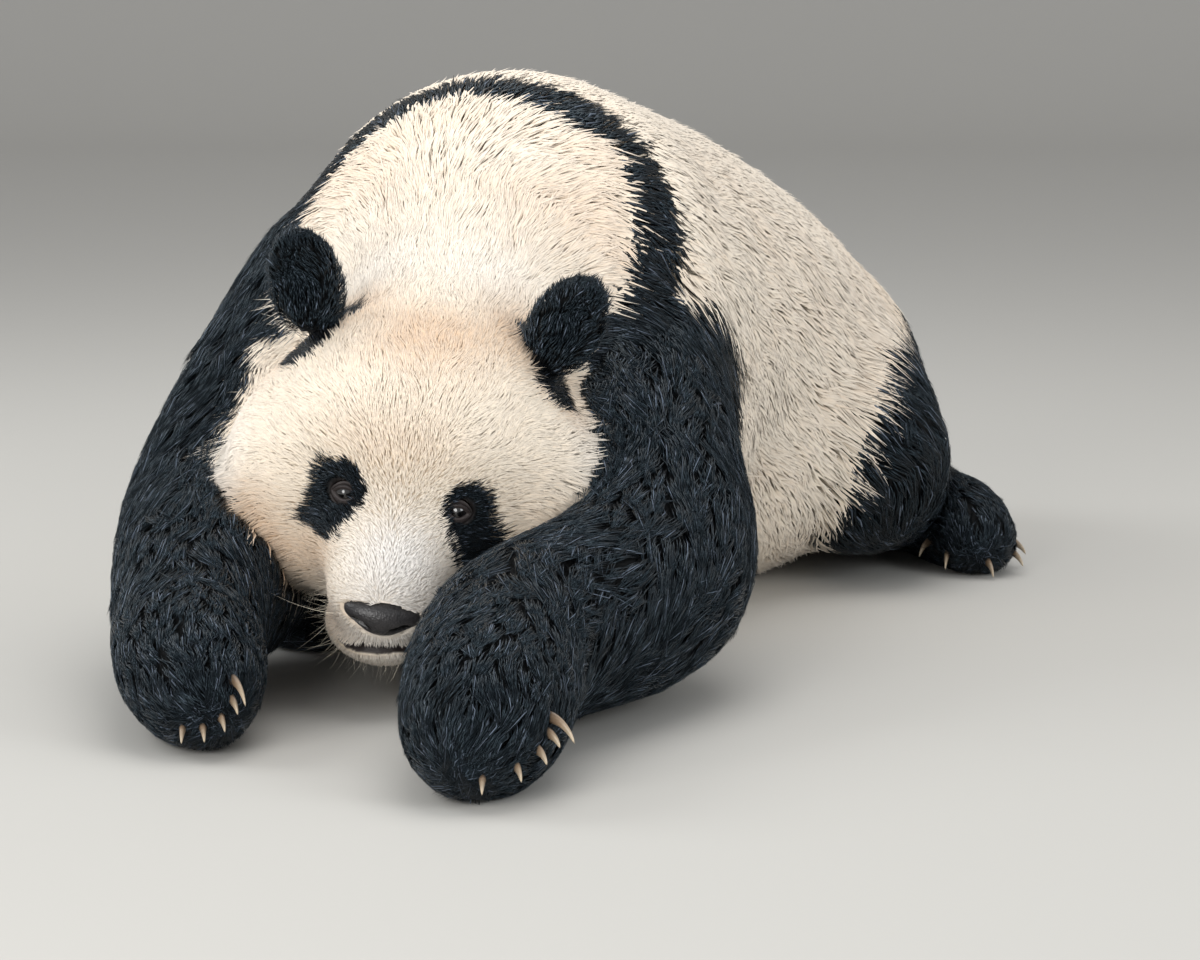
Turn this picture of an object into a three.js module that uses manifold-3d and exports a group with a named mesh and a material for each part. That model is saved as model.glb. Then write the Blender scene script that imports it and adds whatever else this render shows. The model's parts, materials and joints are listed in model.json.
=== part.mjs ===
// A giant panda at life size, lying on its belly with its head low between its outstretched forelegs.
//
// Lengths are millimetres. The face looks along -Y, the animal's left side is +X, the floor is z = 0.
// The whole animal is one distance field (negative inside). Its surface is meshed region by region,
// and flat or curved cuts 0.3 mm wide part it into the pieces a person would name.

import * as THREE from "three";
import Module from "manifold-3d";

const wasm = await Module();
wasm.setup();

// ------------------------------------------------------------------ driving dimensions

const GAP = 0.3; // width of every cut between two pieces
const TINY = 0.08; // edges shorter than this are closed up
const HAIR = 0.05; // how far a body that touches itself is drawn in there

// The head's own frame starts between the ears' roots: x to its left, f forward, u up.
const HEAD_AT = [-171, -270, 192];
const HEAD_YAW = -3; // degrees, positive looks towards +X
const HEAD_PITCH = -17; // positive looks up
const HEAD_ROLL = 10; // positive drops the left cheek
const NECK_CUT = -98; // f of the cut between head and neck

const EYE_SPREAD = 49;
const EYE_FORWARD = 104.5;
const EYE_UP = 24;
const EYE_RADIUS = 11.5;

const NOSE_WIDTH = 68;
const MOUTH_UP = -88; // u of the cut between the muzzle and the lower jaw

const EAR_SPREAD = 116;
const EAR_BACK = -45;
const EAR_UP = 145;

// Backbone: x, y, z and the radius of the body round it, from the withers to the rump.
const SPINE = [
  [-84, 70, 318, 213],
  [-10, 250, 265, 226],
  [80, 430, 210, 212],
  [160, 598, 158, 182],
];
const SPINE_TURN = -24; // degrees the ribs are turned from the head's way of looking

// Limbs: x, y, z and radius at shoulder, mid arm, elbow, wrist, ball of the paw, toes ...
const RIGHT_ARM = [
  [-228, 40, 292, 128],
  [-298, -70, 215, 106],
  [-340, -180, 124, 102],
  [-356, -400, 78, 70],
  [-345, -505, 60, 65],
  [-332, -560, 48, 49],
];
// The breast behind the chin, pushed down against the floor: x, y, z, radius at top and foot.
const BREAST = [
  [-228, 30, 230, 100],
  [-252, -38, 70, 96],
];
const LEFT_ARM = [
  [0, 20, 275, 112],
  [28, -160, 185, 104],
  [40, -320, 106, 94],
  [-70, -539, 88, 79],
  [-92, -705, 62, 71],
  [-102, -762, 50, 51],
];
// ... and at hip, knee, heel, ball of the foot, toes. The right leg mirrors it over the backbone.
const LEFT_LEG = [
  [215, 570, 170, 132],
  [262, 330, 125, 100],
  [318, 560, 55, 56],
  [375, 440, 42, 52],
  [392, 370, 36, 42],
];
const TAIL_ROOT = [215, 712, 150, 60]; // x, y, z, radius
const TAIL_TIP = [262, 812, 50, 42];

const CLAWS = 5; // on each paw
const FORE_CLAW = 30; // length of the longest
const HIND_CLAW = 22;
const CLAW_THICK = 5.5; // radius at the root
const CLAW_BEND = 1.1; // radians from root to tip
const LEFT_FAN = 46; // degrees the claws of a fore paw are spread towards +X
const RIGHT_FAN = 26;

// How finely each part is meshed: the side of a grid cube.
const TRUNK_MESH = 72;
const LIMB_MESH = 41;
const HEAD_MESH = 25;
const EAR_MESH = 13;
const NOSE_MESH = 9;
const TOOL_MESH = 62;

// ------------------------------------------------------------------ colours

const CREAM = [0xe6dcc6, 0.85];
const BLACK = [0x1b1a1c, 0.8];
const NOSE_BLACK = [0x151315, 0.45];
const EYE_BROWN = [0x160e0a, 0.1];
const HORN = [0xcfc3a6, 0.45];

// ------------------------------------------------------------------ frames

// The three axes of something that looks along yaw and pitch and leans by roll.
function axesOf(yaw, pitch, roll) {
  const [y, p, r] = [yaw, pitch, roll].map(THREE.MathUtils.degToRad);
  const forward = new THREE.Vector3(
    Math.sin(y) * Math.cos(p),
    -Math.cos(y) * Math.cos(p),
    Math.sin(p),
  );
  const level = new THREE.Vector3(Math.cos(y), Math.sin(y), 0);
  const above = new THREE.Vector3().crossVectors(level, forward).negate();
  if (above.z < 0) above.negate();
  const left = level.clone().multiplyScalar(Math.cos(r)).addScaledVector(above, -Math.sin(r));
  const up = above.clone().multiplyScalar(Math.cos(r)).addScaledVector(level, Math.sin(r));
  return [left, forward, up];
}

const WORLD = [new THREE.Vector3(1, 0, 0), new THREE.Vector3(0, 1, 0), new THREE.Vector3(0, 0, 1)];
const HEAD = axesOf(HEAD_YAW, HEAD_PITCH, HEAD_ROLL);

// A point or a set of axes of the head's frame, in the part's frame.
function inHead(x, f, u) {
  const at = new THREE.Vector3(...HEAD_AT);
  return at.addScaledVector(HEAD[0], x).addScaledVector(HEAD[1], f).addScaledVector(HEAD[2], u);
}

function turnedInHead(yaw, pitch, roll) {
  return axesOf(yaw, pitch, roll).map((a) =>
    new THREE.Vector3()
      .addScaledVector(HEAD[0], a.x)
      .addScaledVector(HEAD[1], a.y)
      .addScaledVector(HEAD[2], a.z),
  );
}

// ------------------------------------------------------------------ distance fields

// An egg: three radii along three axes.
function egg(centre, radii, axes = WORLD) {
  const [cx, cy, cz] = centre.isVector3 ? centre.toArray() : centre;
  const [a, b, c] = axes;
  const [ra, rb, rc] = radii;
  return (x, y, z) => {
    const [px, py, pz] = [x - cx, y - cy, z - cz];
    const qa = (px * a.x + py * a.y + pz * a.z) / ra;
    const qb = (px * b.x + py * b.y + pz * b.z) / rb;
    const qc = (px * c.x + py * c.y + pz * c.z) / rc;
    const k0 = Math.hypot(qa, qb, qc);
    const k1 = Math.hypot(qa / ra, qb / rb, qc / rc);
    return (k0 * (k0 - 1)) / Math.max(k1, 1e-9);
  };
}

const headEgg = (centre, radii, axes = HEAD) => egg(inHead(...centre), radii, axes);

// A rounded cone from one joint [x, y, z, radius] to the next.
function cone(from, to) {
  const [ax, ay, az, ra] = from;
  const [dx, dy, dz] = [to[0] - ax, to[1] - ay, to[2] - az];
  const long2 = dx * dx + dy * dy + dz * dz;
  return (x, y, z) => {
    const [px, py, pz] = [x - ax, y - ay, z - az];
    const t = Math.min(1, Math.max(0, (px * dx + py * dy + pz * dz) / long2));
    return Math.hypot(px - t * dx, py - t * dy, pz - t * dz) - (ra + (to[3] - ra) * t);
  };
}

// A smooth tube through joints [x, y, z, radius].
function tube(joints, steps = 4) {
  const at = (i) => joints[Math.min(Math.max(i, 0), joints.length - 1)];
  const path = [];
  for (let i = 0; i < joints.length - 1; i++)
    for (let s = 0; s < steps; s++) {
      const [t, p0, p1, p2, p3] = [s / steps, at(i - 1), at(i), at(i + 1), at(i + 2)];
      path.push(p1.map((_, k) => spline(t, p0[k], p1[k], p2[k], p3[k])));
    }
  path.push(joints[joints.length - 1]);
  const pieces = path.slice(1).map((p, i) => cone(path[i], p));
  return (x, y, z) => {
    let d = Infinity;
    for (const piece of pieces) d = Math.min(d, piece(x, y, z));
    return d;
  };
}

function spline(t, a, b, c, d) {
  const square = 2 * a - 5 * b + 4 * c - d;
  const cube = 3 * b - a - 3 * c + d;
  return 0.5 * (2 * b + (c - a) * t + square * t * t + cube * t * t * t);
}

// Fields run together, with a fillet about `soft` wide.
function merge(soft, ...fields) {
  return (x, y, z) => {
    let d = fields[0](x, y, z);
    for (let i = 1; i < fields.length; i++) {
      const e = fields[i](x, y, z);
      const h = Math.max(soft - Math.abs(d - e), 0) / soft;
      d = Math.min(d, e) - (h * h * h * soft) / 6;
    }
    return d;
  };
}

// One field with another taken out of it, with a soft edge.
function without(soft, field, hole) {
  const outside = merge(soft, (x, y, z) => -field(x, y, z), hole);
  return (x, y, z) => -outside(x, y, z);
}

const grown = (field, by) => (x, y, z) => field(x, y, z) - by;

// ------------------------------------------------------------------ the animal

// A joint mirrored over the upright plane through the last length of backbone.
function overSpine([x, y, z, radius]) {
  const [from, to] = [SPINE[1], SPINE[3]];
  const across = new THREE.Vector3(to[1] - from[1], from[0] - to[0], 0).normalize();
  const off = (x - to[0]) * across.x + (y - to[1]) * across.y;
  return [x - 2 * off * across.x, y - 2 * off * across.y, z, radius];
}

function headField() {
  const cheeks = [headEgg([-84, -6, -14], [80, 88, 82]), headEgg([92, -4, -12], [84, 90, 98])];
  const jowls = [headEgg([-50, 36, -56], [52, 60, 42]), headEgg([54, 40, -78], [58, 66, 48])];
  const skull = merge(
    50,
    headEgg([0, -18, 12], [138, 132, 116]),
    ...cheeks,
    ...jowls,
    headEgg([0, 52, 46], [88, 62, 58]),
  );
  const muzzle = [headEgg([0, 92, -26], [64, 62, 54]), headEgg([0, 142, -50], [50, 42, 42])];
  const chin = headEgg([-2, 118, -92], [48, 50, 32]);
  const nape = cone([...inHead(0, -40, 0).toArray(), 122], [-120, -60, 290, 142]);
  return merge(80, merge(30, merge(40, skull, ...muzzle), chin), nape);
}

// A round ear, hollow in front. side is 1 for the left one.
function earField(side) {
  const axes = turnedInHead(side * 30, 0, side * 25);
  const shell = headEgg([side * EAR_SPREAD, EAR_BACK, EAR_UP], [35, 20, 60], axes);
  const hollow = headEgg([side * EAR_SPREAD, EAR_BACK + 33, EAR_UP + 13], [24, 24, 38], axes);
  return without(10, shell, hollow);
}

const neckField = () => cone([-130, -110, 262, 128], [-92, 70, 330, 172]);

function trunkField() {
  const chest = egg([-70, 60, 185], [205, 190, 200], axesOf(SPINE_TURN / 2, 0, 0));
  const belly = egg([60, 380, 150], [228, 260, 160], axesOf(SPINE_TURN, 0, 0));
  return merge(90, tube(SPINE), chest, belly);
}

function nosePad() {
  const wing = NOSE_WIDTH / 2;
  const pad = headEgg([0, 168, -54], [wing, 19, 14]);
  const lip = headEgg([0, 166, -62], [19, 17, 13]);
  const nostrils = [-1, 1].map((s) =>
    cone([...inHead(s * 13, 190, -58).toArray(), 4.5], [...inHead(s * 21, 182, -55).toArray(), 3]),
  );
  return without(3, merge(14, pad, lip), merge(1, ...nostrils));
}

const head = headField();
const neck = neckField();
const trunk = trunkField();
const ears = { left: earField(1), right: earField(-1) };
const arms = { left: tube(LEFT_ARM), right: merge(40, tube(RIGHT_ARM), cone(...BREAST)) };
const RIGHT_LEG = LEFT_LEG.map(overSpine);
const legs = { left: tube(LEFT_LEG, 3), right: tube(RIGHT_LEG, 3) };
const tail = cone(TAIL_ROOT, TAIL_TIP);

const body = merge(
  40,
  merge(50, merge(90, trunk, neck), arms.right),
  arms.left,
  legs.left,
  legs.right,
  tail,
);
const whole = merge(16, body, head);
// Everything but the limbs, a little proud of the true surface: it parts the limbs from the trunk.
const middle = merge(8, grown(merge(90, trunk, neck), 16), grown(merge(60, head, neck), 6));

// ------------------------------------------------------------------ meshing a field

// The field's surface inside a box, one vertex to each crossed cube, drawn onto the surface.
function surface(field, low, high, cell) {
  const inBox = (x, y, z) => {
    const p = [x, y, z];
    const out = Math.max(...p.map((v, a) => Math.max(low[a] + cell - v, v - high[a] + cell)));
    return Math.max(field(x, y, z), out);
  };
  const count = low.map((v, a) => Math.ceil((high[a] - v) / cell) + 1);
  const index = (i, j, k) => (k * count[1] + j) * count[0] + i;
  const value = new Float64Array(count[0] * count[1] * count[2]);
  for (let k = 0; k < count[2]; k++)
    for (let j = 0; j < count[1]; j++)
      for (let i = 0; i < count[0]; i++)
        value[index(i, j, k)] = inBox(low[0] + i * cell, low[1] + j * cell, low[2] + k * cell);

  const vertexOf = new Map();
  const points = [];
  const corner = [0, 1, 2, 3, 4, 5, 6, 7].map((c) => [c & 1, (c >> 1) & 1, (c >> 2) & 1]);
  for (let k = 0; k < count[2] - 1; k++)
    for (let j = 0; j < count[1] - 1; j++)
      for (let i = 0; i < count[0] - 1; i++) {
        const v = corner.map(([a, b, c]) => value[index(i + a, j + b, k + c)]);
        if (v.every((d) => d < 0) || v.every((d) => d >= 0)) continue;
        const sum = [0, 0, 0];
        let hits = 0;
        for (let a = 0; a < 8; a++)
          for (const bit of [1, 2, 4]) {
            const b = a | bit;
            if (b === a || v[a] < 0 === v[b] < 0) continue;
            const t = v[a] / (v[a] - v[b]);
            hits += 1;
            for (let n = 0; n < 3; n++)
              sum[n] += corner[a][n] + t * (corner[b][n] - corner[a][n]);
          }
        const at = [i, j, k].map((n, a) => low[a] + (n + sum[a] / hits) * cell);
        vertexOf.set(index(i, j, k), points.length / 3);
        points.push(...drawnOnto(inBox, at, cell));
      }

  const faces = [];
  const step = [1, count[0], count[0] * count[1]];
  for (const axis of [0, 1, 2]) {
    const [u, w] = [(axis + 1) % 3, (axis + 2) % 3];
    for (let k = 0; k < count[2]; k++)
      for (let j = 0; j < count[1]; j++)
        for (let i = 0; i < count[0]; i++) {
          const n = [i, j, k];
          if (n[axis] >= count[axis] - 1 || n[u] < 1 || n[w] < 1) continue;
          const here = index(i, j, k);
          const inside = value[here] < 0;
          if (inside === value[here + step[axis]] < 0) continue;
          const ring = [here - step[u] - step[w], here - step[w], here, here - step[u]];
          const [a, b, c, d] = ring.map((cube) => vertexOf.get(cube));
          if (inside) faces.push(a, b, c, a, c, d);
          else faces.push(a, c, b, a, d, c);
        }
  }
  return { points, faces };
}

// The slope of a field, as a unit vector.
function slope(field, [x, y, z]) {
  const g = [
    field(x + 1, y, z) - field(x - 1, y, z),
    field(x, y + 1, z) - field(x, y - 1, z),
    field(x, y, z + 1) - field(x, y, z - 1),
  ];
  const size = Math.hypot(...g) || 1;
  return g.map((v) => v / size);
}

function drawnOnto(field, start, cell) {
  let at = start;
  for (let turn = 0; turn < 3; turn++) {
    const d = field(...at);
    const step = Math.max(-cell / 3, Math.min(cell / 3, d));
    const g = slope(field, at);
    at = at.map((v, a) => v - g[a] * step);
  }
  return at.map((v, a) => Math.min(start[a] + cell / 2, Math.max(start[a] - cell / 2, v)));
}

function solidFrom(points, faces) {
  return new wasm.Manifold(
    new wasm.Mesh({
      numProp: 3,
      vertProperties: new Float32Array(points),
      triVerts: new Uint32Array(faces),
    }),
  );
}

// ------------------------------------------------------------------ cutting

const FLOOR = boxSolid([-2000, -2000, -900], [2000, 2000, 0]);

function boxSolid(low, high) {
  const size = low.map((v, a) => high[a] - v);
  const box = new THREE.BoxGeometry(...size);
  box.translate(...low.map((v, a) => v + size[a] / 2));
  return fromGeometry(box);
}

function fromGeometry(geometry) {
  const position = geometry.getAttribute("position");
  const points = Array.from({ length: position.count }, (_, i) => [
    position.getX(i),
    position.getY(i),
    position.getZ(i),
  ]);
  const order = geometry.index ? Array.from(geometry.index.array) : points.map((_, i) => i);
  return welded(points, order);
}

// A solid from points and triangles, with the points that share a micrometre made one.
function welded(points, order) {
  const seen = new Map();
  const kept = [];
  const names = points.map((p) => {
    const key = p.map((v) => Math.trunc(v * 1000 + 0.5)).join(" ");
    if (!seen.has(key)) {
      seen.set(key, kept.length / 3);
      kept.push(...p);
    }
    return seen.get(key);
  });
  const faces = [];
  for (let i = 0; i < order.length; i += 3) {
    const [a, b, c] = [names[order[i]], names[order[i + 1]], names[order[i + 2]]];
    if (a !== b && b !== c && c !== a) faces.push(a, b, c);
  }
  return solidFrom(kept, faces);
}

// A field's solid above the floor, and the same solid grown by the gap.
function solidOf(field, low, high, cell) {
  const { points, faces } = surface(field, low, high, cell);
  return solidFrom(points, faces).subtract(FLOOR);
}

function toolPair(field, low, high, cell) {
  const { points, faces } = surface(field, low, high, cell);
  const wider = [];
  for (let i = 0; i < points.length; i += 3) {
    const at = points.slice(i, i + 3);
    const g = slope(field, at);
    wider.push(...at.map((v, a) => v + g[a] * GAP));
  }
  return { tool: solidFrom(points, faces), wider: solidFrom(wider, faces) };
}

// What lies in front of a plane (the side its normal points to), half a gap away from it.
function inFrontOf(point, normal) {
  const z = new THREE.Vector3(...normal).normalize();
  const block = new THREE.BoxGeometry(3000, 3000, 1500);
  block.translate(0, 0, 750 + GAP / 2);
  block.applyQuaternion(new THREE.Quaternion().setFromUnitVectors(WORLD[2], z));
  block.translate(...point);
  return fromGeometry(block);
}

function cutAt(solid, point, normal) {
  const behind = normal.map((v) => -v);
  return {
    front: largest(solid.intersect(inFrontOf(point, normal))),
    back: largest(solid.intersect(inFrontOf(point, behind))),
  };
}

// The biggest body of a solid that a cut may have left in several.
function largest(solid) {
  const bodies = solid.decompose();
  return bodies.reduce((a, b) => (b.volume() > a.volume() ? b : a));
}

// ------------------------------------------------------------------ pieces

const pieces = [];

// Closes up the edges far shorter than the gap that a cut leaves where two meshes cross.
function tidied(solid) {
  const mesh = solid.getMesh();
  const at = [];
  for (let i = 0; i < mesh.vertProperties.length; i += mesh.numProp)
    at.push(new THREE.Vector3(...mesh.vertProperties.slice(i, i + 3)));
  const faces = [];
  for (let i = 0; i < mesh.triVerts.length; i += 3) faces.push([...mesh.triVerts.slice(i, i + 3)]);
  const around = at.map(() => new Set());
  faces.forEach((face, f) => face.forEach((v) => around[v].add(f)));
  const near = (v) => new Set([...around[v]].flatMap((f) => faces[f]).filter((w) => w !== v));
  for (let f = 0; f < faces.length; f++)
    for (let e = 0; faces[f] && e < 3; e++) {
      const [a, b] = [faces[f][e], faces[f][(e + 1) % 3]];
      if (at[a].distanceTo(at[b]) > TINY) continue;
      const nearB = near(b);
      const shared = [...near(a)].filter((v) => nearB.has(v));
      if (shared.length !== 2) continue;
      for (const g of [...around[b]]) {
        if (faces[g].includes(a)) {
          faces[g].forEach((v) => around[v].delete(g));
          faces[g] = null;
        } else {
          faces[g] = faces[g].map((v) => (v === b ? a : v));
          around[a].add(g);
        }
      }
      around[b].clear();
      e = 3;
      f = Math.max(-1, f - 8);
    }
  const kept = faces.filter((face) => face).flat();
  return largest(welded(at.map((p) => p.toArray()), kept));
}

function add(name, solid, finish) {
  pieces.push({ name, solid, finish });
}

// Draws in by a hair the corners where a body touches itself.
function unpinched(geometry) {
  geometry.computeVertexNormals();
  const { position, normal } = geometry.attributes;
  const groups = new Map();
  for (let i = 0; i < position.count; i++) {
    const at = [position.getX(i), position.getY(i), position.getZ(i)];
    const key = at.map((v) => Math.round(v * 100)).join(" ");
    groups.set(key, [...(groups.get(key) ?? []), i]);
  }
  for (const twins of groups.values())
    for (const i of twins.length > 1 ? twins : [])
      position.setXYZ(
        i,
        position.getX(i) - HAIR * normal.getX(i),
        position.getY(i) - HAIR * normal.getY(i),
        position.getZ(i) - HAIR * normal.getZ(i),
      );
  return geometry;
}

function meshOf({ name, solid, finish: [colour, roughness] }) {
  const { vertProperties, triVerts } = tidied(solid).getMesh();
  const geometry = new THREE.BufferGeometry();
  geometry.setAttribute("position", new THREE.BufferAttribute(vertProperties, 3));
  geometry.setIndex(Array.from(triVerts));
  const flat = unpinched(geometry).toNonIndexed();
  flat.computeVertexNormals();
  const material = new THREE.MeshStandardMaterial({ color: colour, roughness, metalness: 0 });
  const mesh = new THREE.Mesh(flat, material);
  mesh.name = name;
  return mesh;
}

function addHead(tool) {
  const low = [-400, -520, -40];
  const high = [60, -120, 400];
  const all = solidOf(whole, low, high, HEAD_MESH).intersect(tool.tool);
  const back = inHead(0, NECK_CUT, 0).toArray();
  let skull = cutAt(all, back, HEAD[1].toArray()).front;

  for (const [side, s] of [["left", 1], ["right", -1]]) {
    const root = inHead(s * EAR_SPREAD, EAR_BACK, EAR_UP).toArray();
    const from = root.map((v) => v - 110);
    const to = root.map((v) => v + 110);
    const flap = largest(solidOf(ears[side], from, to, EAR_MESH).subtract(tool.wider));
    add("ear_" + side, flap, BLACK);
    skull = skull.subtract(addEye(side, s));
  }

  const noseAt = inHead(0, 168, -44).toArray();
  const noseLow = noseAt.map((v) => v - 60);
  const noseHigh = noseAt.map((v) => v + 60);
  const nose = toolPair(nosePad(), noseLow, noseHigh, NOSE_MESH);
  add("nose", largest(nose.tool), NOSE_BLACK);
  skull = skull.subtract(nose.wider);

  const jawBox = (grow) => {
    const block = new THREE.BoxGeometry(112 + grow, 160 + grow, 140 + grow);
    const back = HEAD[1].clone().negate();
    const frame = new THREE.Matrix4().makeBasis(HEAD[0], back, HEAD[2]);
    frame.setPosition(inHead(0, 150, MOUTH_UP - 70));
    block.applyMatrix4(frame);
    return fromGeometry(block);
  };
  add("lower_jaw", largest(skull.intersect(jawBox(0))), CREAM);
  add("head", largest(skull.subtract(jawBox(2 * GAP))), CREAM);
}

// Adds an eyeball and returns the socket it sits in.
function addEye(side, s) {
  const at = inHead(s * EYE_SPREAD, EYE_FORWARD, EYE_UP);
  const ball = new THREE.SphereGeometry(EYE_RADIUS, 12, 7);
  ball.translate(at.x, at.y, at.z);
  add("eye_" + side, fromGeometry(ball), EYE_BROWN);
  const socket = new THREE.CapsuleGeometry(EYE_RADIUS + GAP + 0.5, 40, 3, 12);
  socket.translate(0, 20, 0);
  const turn = new THREE.Quaternion().setFromUnitVectors(WORLD[1], HEAD[1]);
  socket.applyQuaternion(turn);
  socket.translate(at.x, at.y, at.z);
  return fromGeometry(socket);
}

// Neck, shoulders, barrel, rump and tail. The shoulders are the black band over the withers.
function addTrunk(tool) {
  const all = solidOf(whole, [-460, -420, -150], [560, 960, 640], TRUNK_MESH).intersect(tool.tool);
  const behindHead = cutAt(all, inHead(0, NECK_CUT, 0).toArray(), HEAD[1].toArray()).back;
  const nape = cutAt(behindHead, [-75, -22, 514], [0, -0.81, 0.585]);
  add("neck", nape.front, CREAM);

  const bandTop = [[-24, 24, 519], [0, -0.867, 0.498]];
  const bandFoot = [[0, -40, 250], [0, -0.94, -0.34]];
  const band = inFrontOf(...bandTop).add(inFrontOf(...bandFoot));
  add("shoulders", largest(nape.back.intersect(band)), BLACK);
  const ribs = cutAt(cutAt(nape.back, ...bandTop).back, ...bandFoot).back;

  const waist = cutAt(ribs, [90, 450, 200], [0.34, 0.94, 0]);
  add("barrel", waist.back, CREAM);
  const [low, high] = [[80, 560, -80], [420, 940, 300]];
  const dock = toolPair(grown(tail, 14), low, high, EAR_MESH * 2);
  add("rump", largest(waist.front.subtract(dock.wider)), CREAM);
  add("tail", largest(solidOf(whole, low, high, LIMB_MESH).intersect(dock.tool)), CREAM);
}

// ------------------------------------------------------------------ limbs and claws

// The way a limb runs at one of its joints.
function along(joints, i) {
  const [from, to] = [joints[Math.max(i - 1, 0)], joints[Math.min(i + 1, joints.length - 1)]];
  return new THREE.Vector3(to[0] - from[0], to[1] - from[1], to[2] - from[2]).normalize();
}

function addArm(side, joints, low, high, tool) {
  const skin = toolPair(whole, low, high, LIMB_MESH);
  const arm = largest(skin.tool.subtract(FLOOR).subtract(tool.wider));
  const elbow = cutAt(arm, joints[2].slice(0, 3), along(joints, 2).toArray());
  const wrist = cutAt(elbow.front, joints[3].slice(0, 3), along(joints, 3).toArray());
  add("upper_arm_" + side, elbow.back, BLACK);
  add("forearm_" + side, wrist.back, BLACK);
  add("fore_paw_" + side, wrist.front, BLACK);
  const spread = side === "left" ? LEFT_FAN : RIGHT_FAN;
  for (let i = 0; i < CLAWS; i++) {
    // From the outermost claw, high on the side, round and down to the foremost.
    const turn = (i / (CLAWS - 1)) * (Math.PI / 2);
    const [azimuth, rise] = [spread * Math.cos(turn), 3 - 24 * Math.sin(turn)];
    const length = i === 0 ? FORE_CLAW : FORE_CLAW * 0.5;
    addClaw(`fore_claw_${side}_${i + 1}`, joints[4], azimuth, rise, length, skin);
  }
}

function addLeg(side, joints, low, high, tool) {
  const skin = toolPair(whole, low, high, LIMB_MESH);
  const leg = largest(skin.tool.subtract(FLOOR).subtract(tool.wider));
  const thigh = toolPair(grown(cone(joints[0], joints[1]), 10), low, high, TOOL_MESH);
  add("thigh_" + side, largest(leg.intersect(thigh.tool)), BLACK);
  const rest = largest(leg.subtract(thigh.wider));
  const out = along(joints, 3).cross(WORLD[2]).multiplyScalar(side === "left" ? -1 : 1);
  const foot = cutAt(rest, joints[2].slice(0, 3), [out.x, out.y, -0.45]);
  add("shank_" + side, foot.back, BLACK);
  add("hind_paw_" + side, foot.front, BLACK);
  const ahead = along(joints, 4);
  const azimuth = THREE.MathUtils.radToDeg(Math.atan2(ahead.x, -ahead.y));
  for (let i = 0; i < CLAWS; i++) {
    const swing = azimuth + 24 * (i - (CLAWS - 1) / 2);
    addClaw(`hind_claw_${side}_${i + 1}`, joints[3], swing, -14, HIND_CLAW, skin);
  }
}

// A curved claw, rooted where a line from the ball of the paw leaves the skin.
function addClaw(name, ball, azimuth, rise, length, skin) {
  const [a, e] = [azimuth, rise].map(THREE.MathUtils.degToRad);
  const reach = [Math.sin(a) * Math.cos(e), -Math.cos(a) * Math.cos(e), Math.sin(e)];
  const out = new THREE.Vector3(reach[0], reach[1], 0).normalize();
  let far = 20;
  while (whole(...reach.map((v, n) => ball[n] + v * far)) < -6) far += 1;
  const root = new THREE.Vector3(...reach.map((v, n) => ball[n] + v * far));
  const side = new THREE.Vector3().crossVectors(out, WORLD[2]);
  const [rings, round] = [3, 5];
  const full = length + 6;
  const points = [];
  for (let i = 0; i < rings; i++) {
    const bend = (CLAW_BEND * i) / rings;
    const radius = CLAW_THICK * Math.sqrt(1 - i / rings);
    const centre = root
      .clone()
      .addScaledVector(out, (full * Math.sin(bend)) / CLAW_BEND)
      .addScaledVector(WORLD[2], (-full * (1 - Math.cos(bend))) / CLAW_BEND);
    const up = new THREE.Vector3()
      .addScaledVector(out, Math.sin(bend))
      .addScaledVector(WORLD[2], Math.cos(bend));
    for (let k = 0; k < round; k++) {
      const t = (k / round) * 2 * Math.PI;
      const at = centre
        .clone()
        .addScaledVector(side, 0.7 * radius * Math.cos(t))
        .addScaledVector(up, radius * Math.sin(t));
      points.push(at.x, at.y, at.z);
    }
  }
  const tip = root
    .clone()
    .addScaledVector(out, (full * Math.sin(CLAW_BEND)) / CLAW_BEND)
    .addScaledVector(WORLD[2], (-full * (1 - Math.cos(CLAW_BEND))) / CLAW_BEND);
  points.push(tip.x, tip.y, tip.z);
  const faces = [];
  for (let k = 0; k < round; k++) {
    const next = (k + 1) % round;
    for (let i = 0; i < rings - 1; i++) {
      const [p, q] = [i * round, (i + 1) * round];
      faces.push(p + k, q + k, p + next, p + next, q + k, q + next);
    }
    const last = (rings - 1) * round;
    faces.push(last + k, rings * round, last + next);
    if (k > 1) faces.push(0, k - 1, k);
  }
  const claw = solidFrom(points, faces);
  const turned = claw.volume() < 0 ? solidFrom(points, faces.reverse()) : claw;
  add(name, largest(turned.subtract(FLOOR).subtract(skin.wider)), HORN);
}

// ------------------------------------------------------------------ the part

const tool = toolPair(middle, [-460, -560, -80], [560, 960, 660], TOOL_MESH);
addHead(tool);
addTrunk(tool);
addArm("right", RIGHT_ARM, [-520, -700, -80], [-130, 160, 480], tool);
addArm("left", LEFT_ARM, [-260, -900, -80], [220, 140, 460], tool);
addLeg("right", RIGHT_LEG, [-340, 380, -80], [130, 860, 360], tool);
addLeg("left", LEFT_LEG, [60, 190, -80], [500, 700, 360], tool);

// The part stands on its origin: the middle of its plan, at floor level.
const boxes = pieces.map((piece) => piece.solid.boundingBox());
const middleOf = (a) => {
  const low = Math.min(...boxes.map((box) => box.min[a]));
  const high = Math.max(...boxes.map((box) => box.max[a]));
  return Math.round((low + high) / 2);
};
const shift = [-middleOf(0), -middleOf(1), 0];

const group = new THREE.Group();
for (const piece of pieces)
  group.add(meshOf({ ...piece, solid: piece.solid.translate(shift) }));

export default group;
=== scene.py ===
# %% [markdown]
# # A giant panda resting on its belly
# A museum-type model of a whole animal is built in four layers, as a model maker would build it:
# a body form, one skin drawn over it, the hard parts (eyes, nose leather, claws), and the coat.
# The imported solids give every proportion, out to the tips of the coat. The skin lies inside them
# by the depth of the fur, and thousands of small solid tufts fill the space between.

# %% The frame
import math
import time

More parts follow.
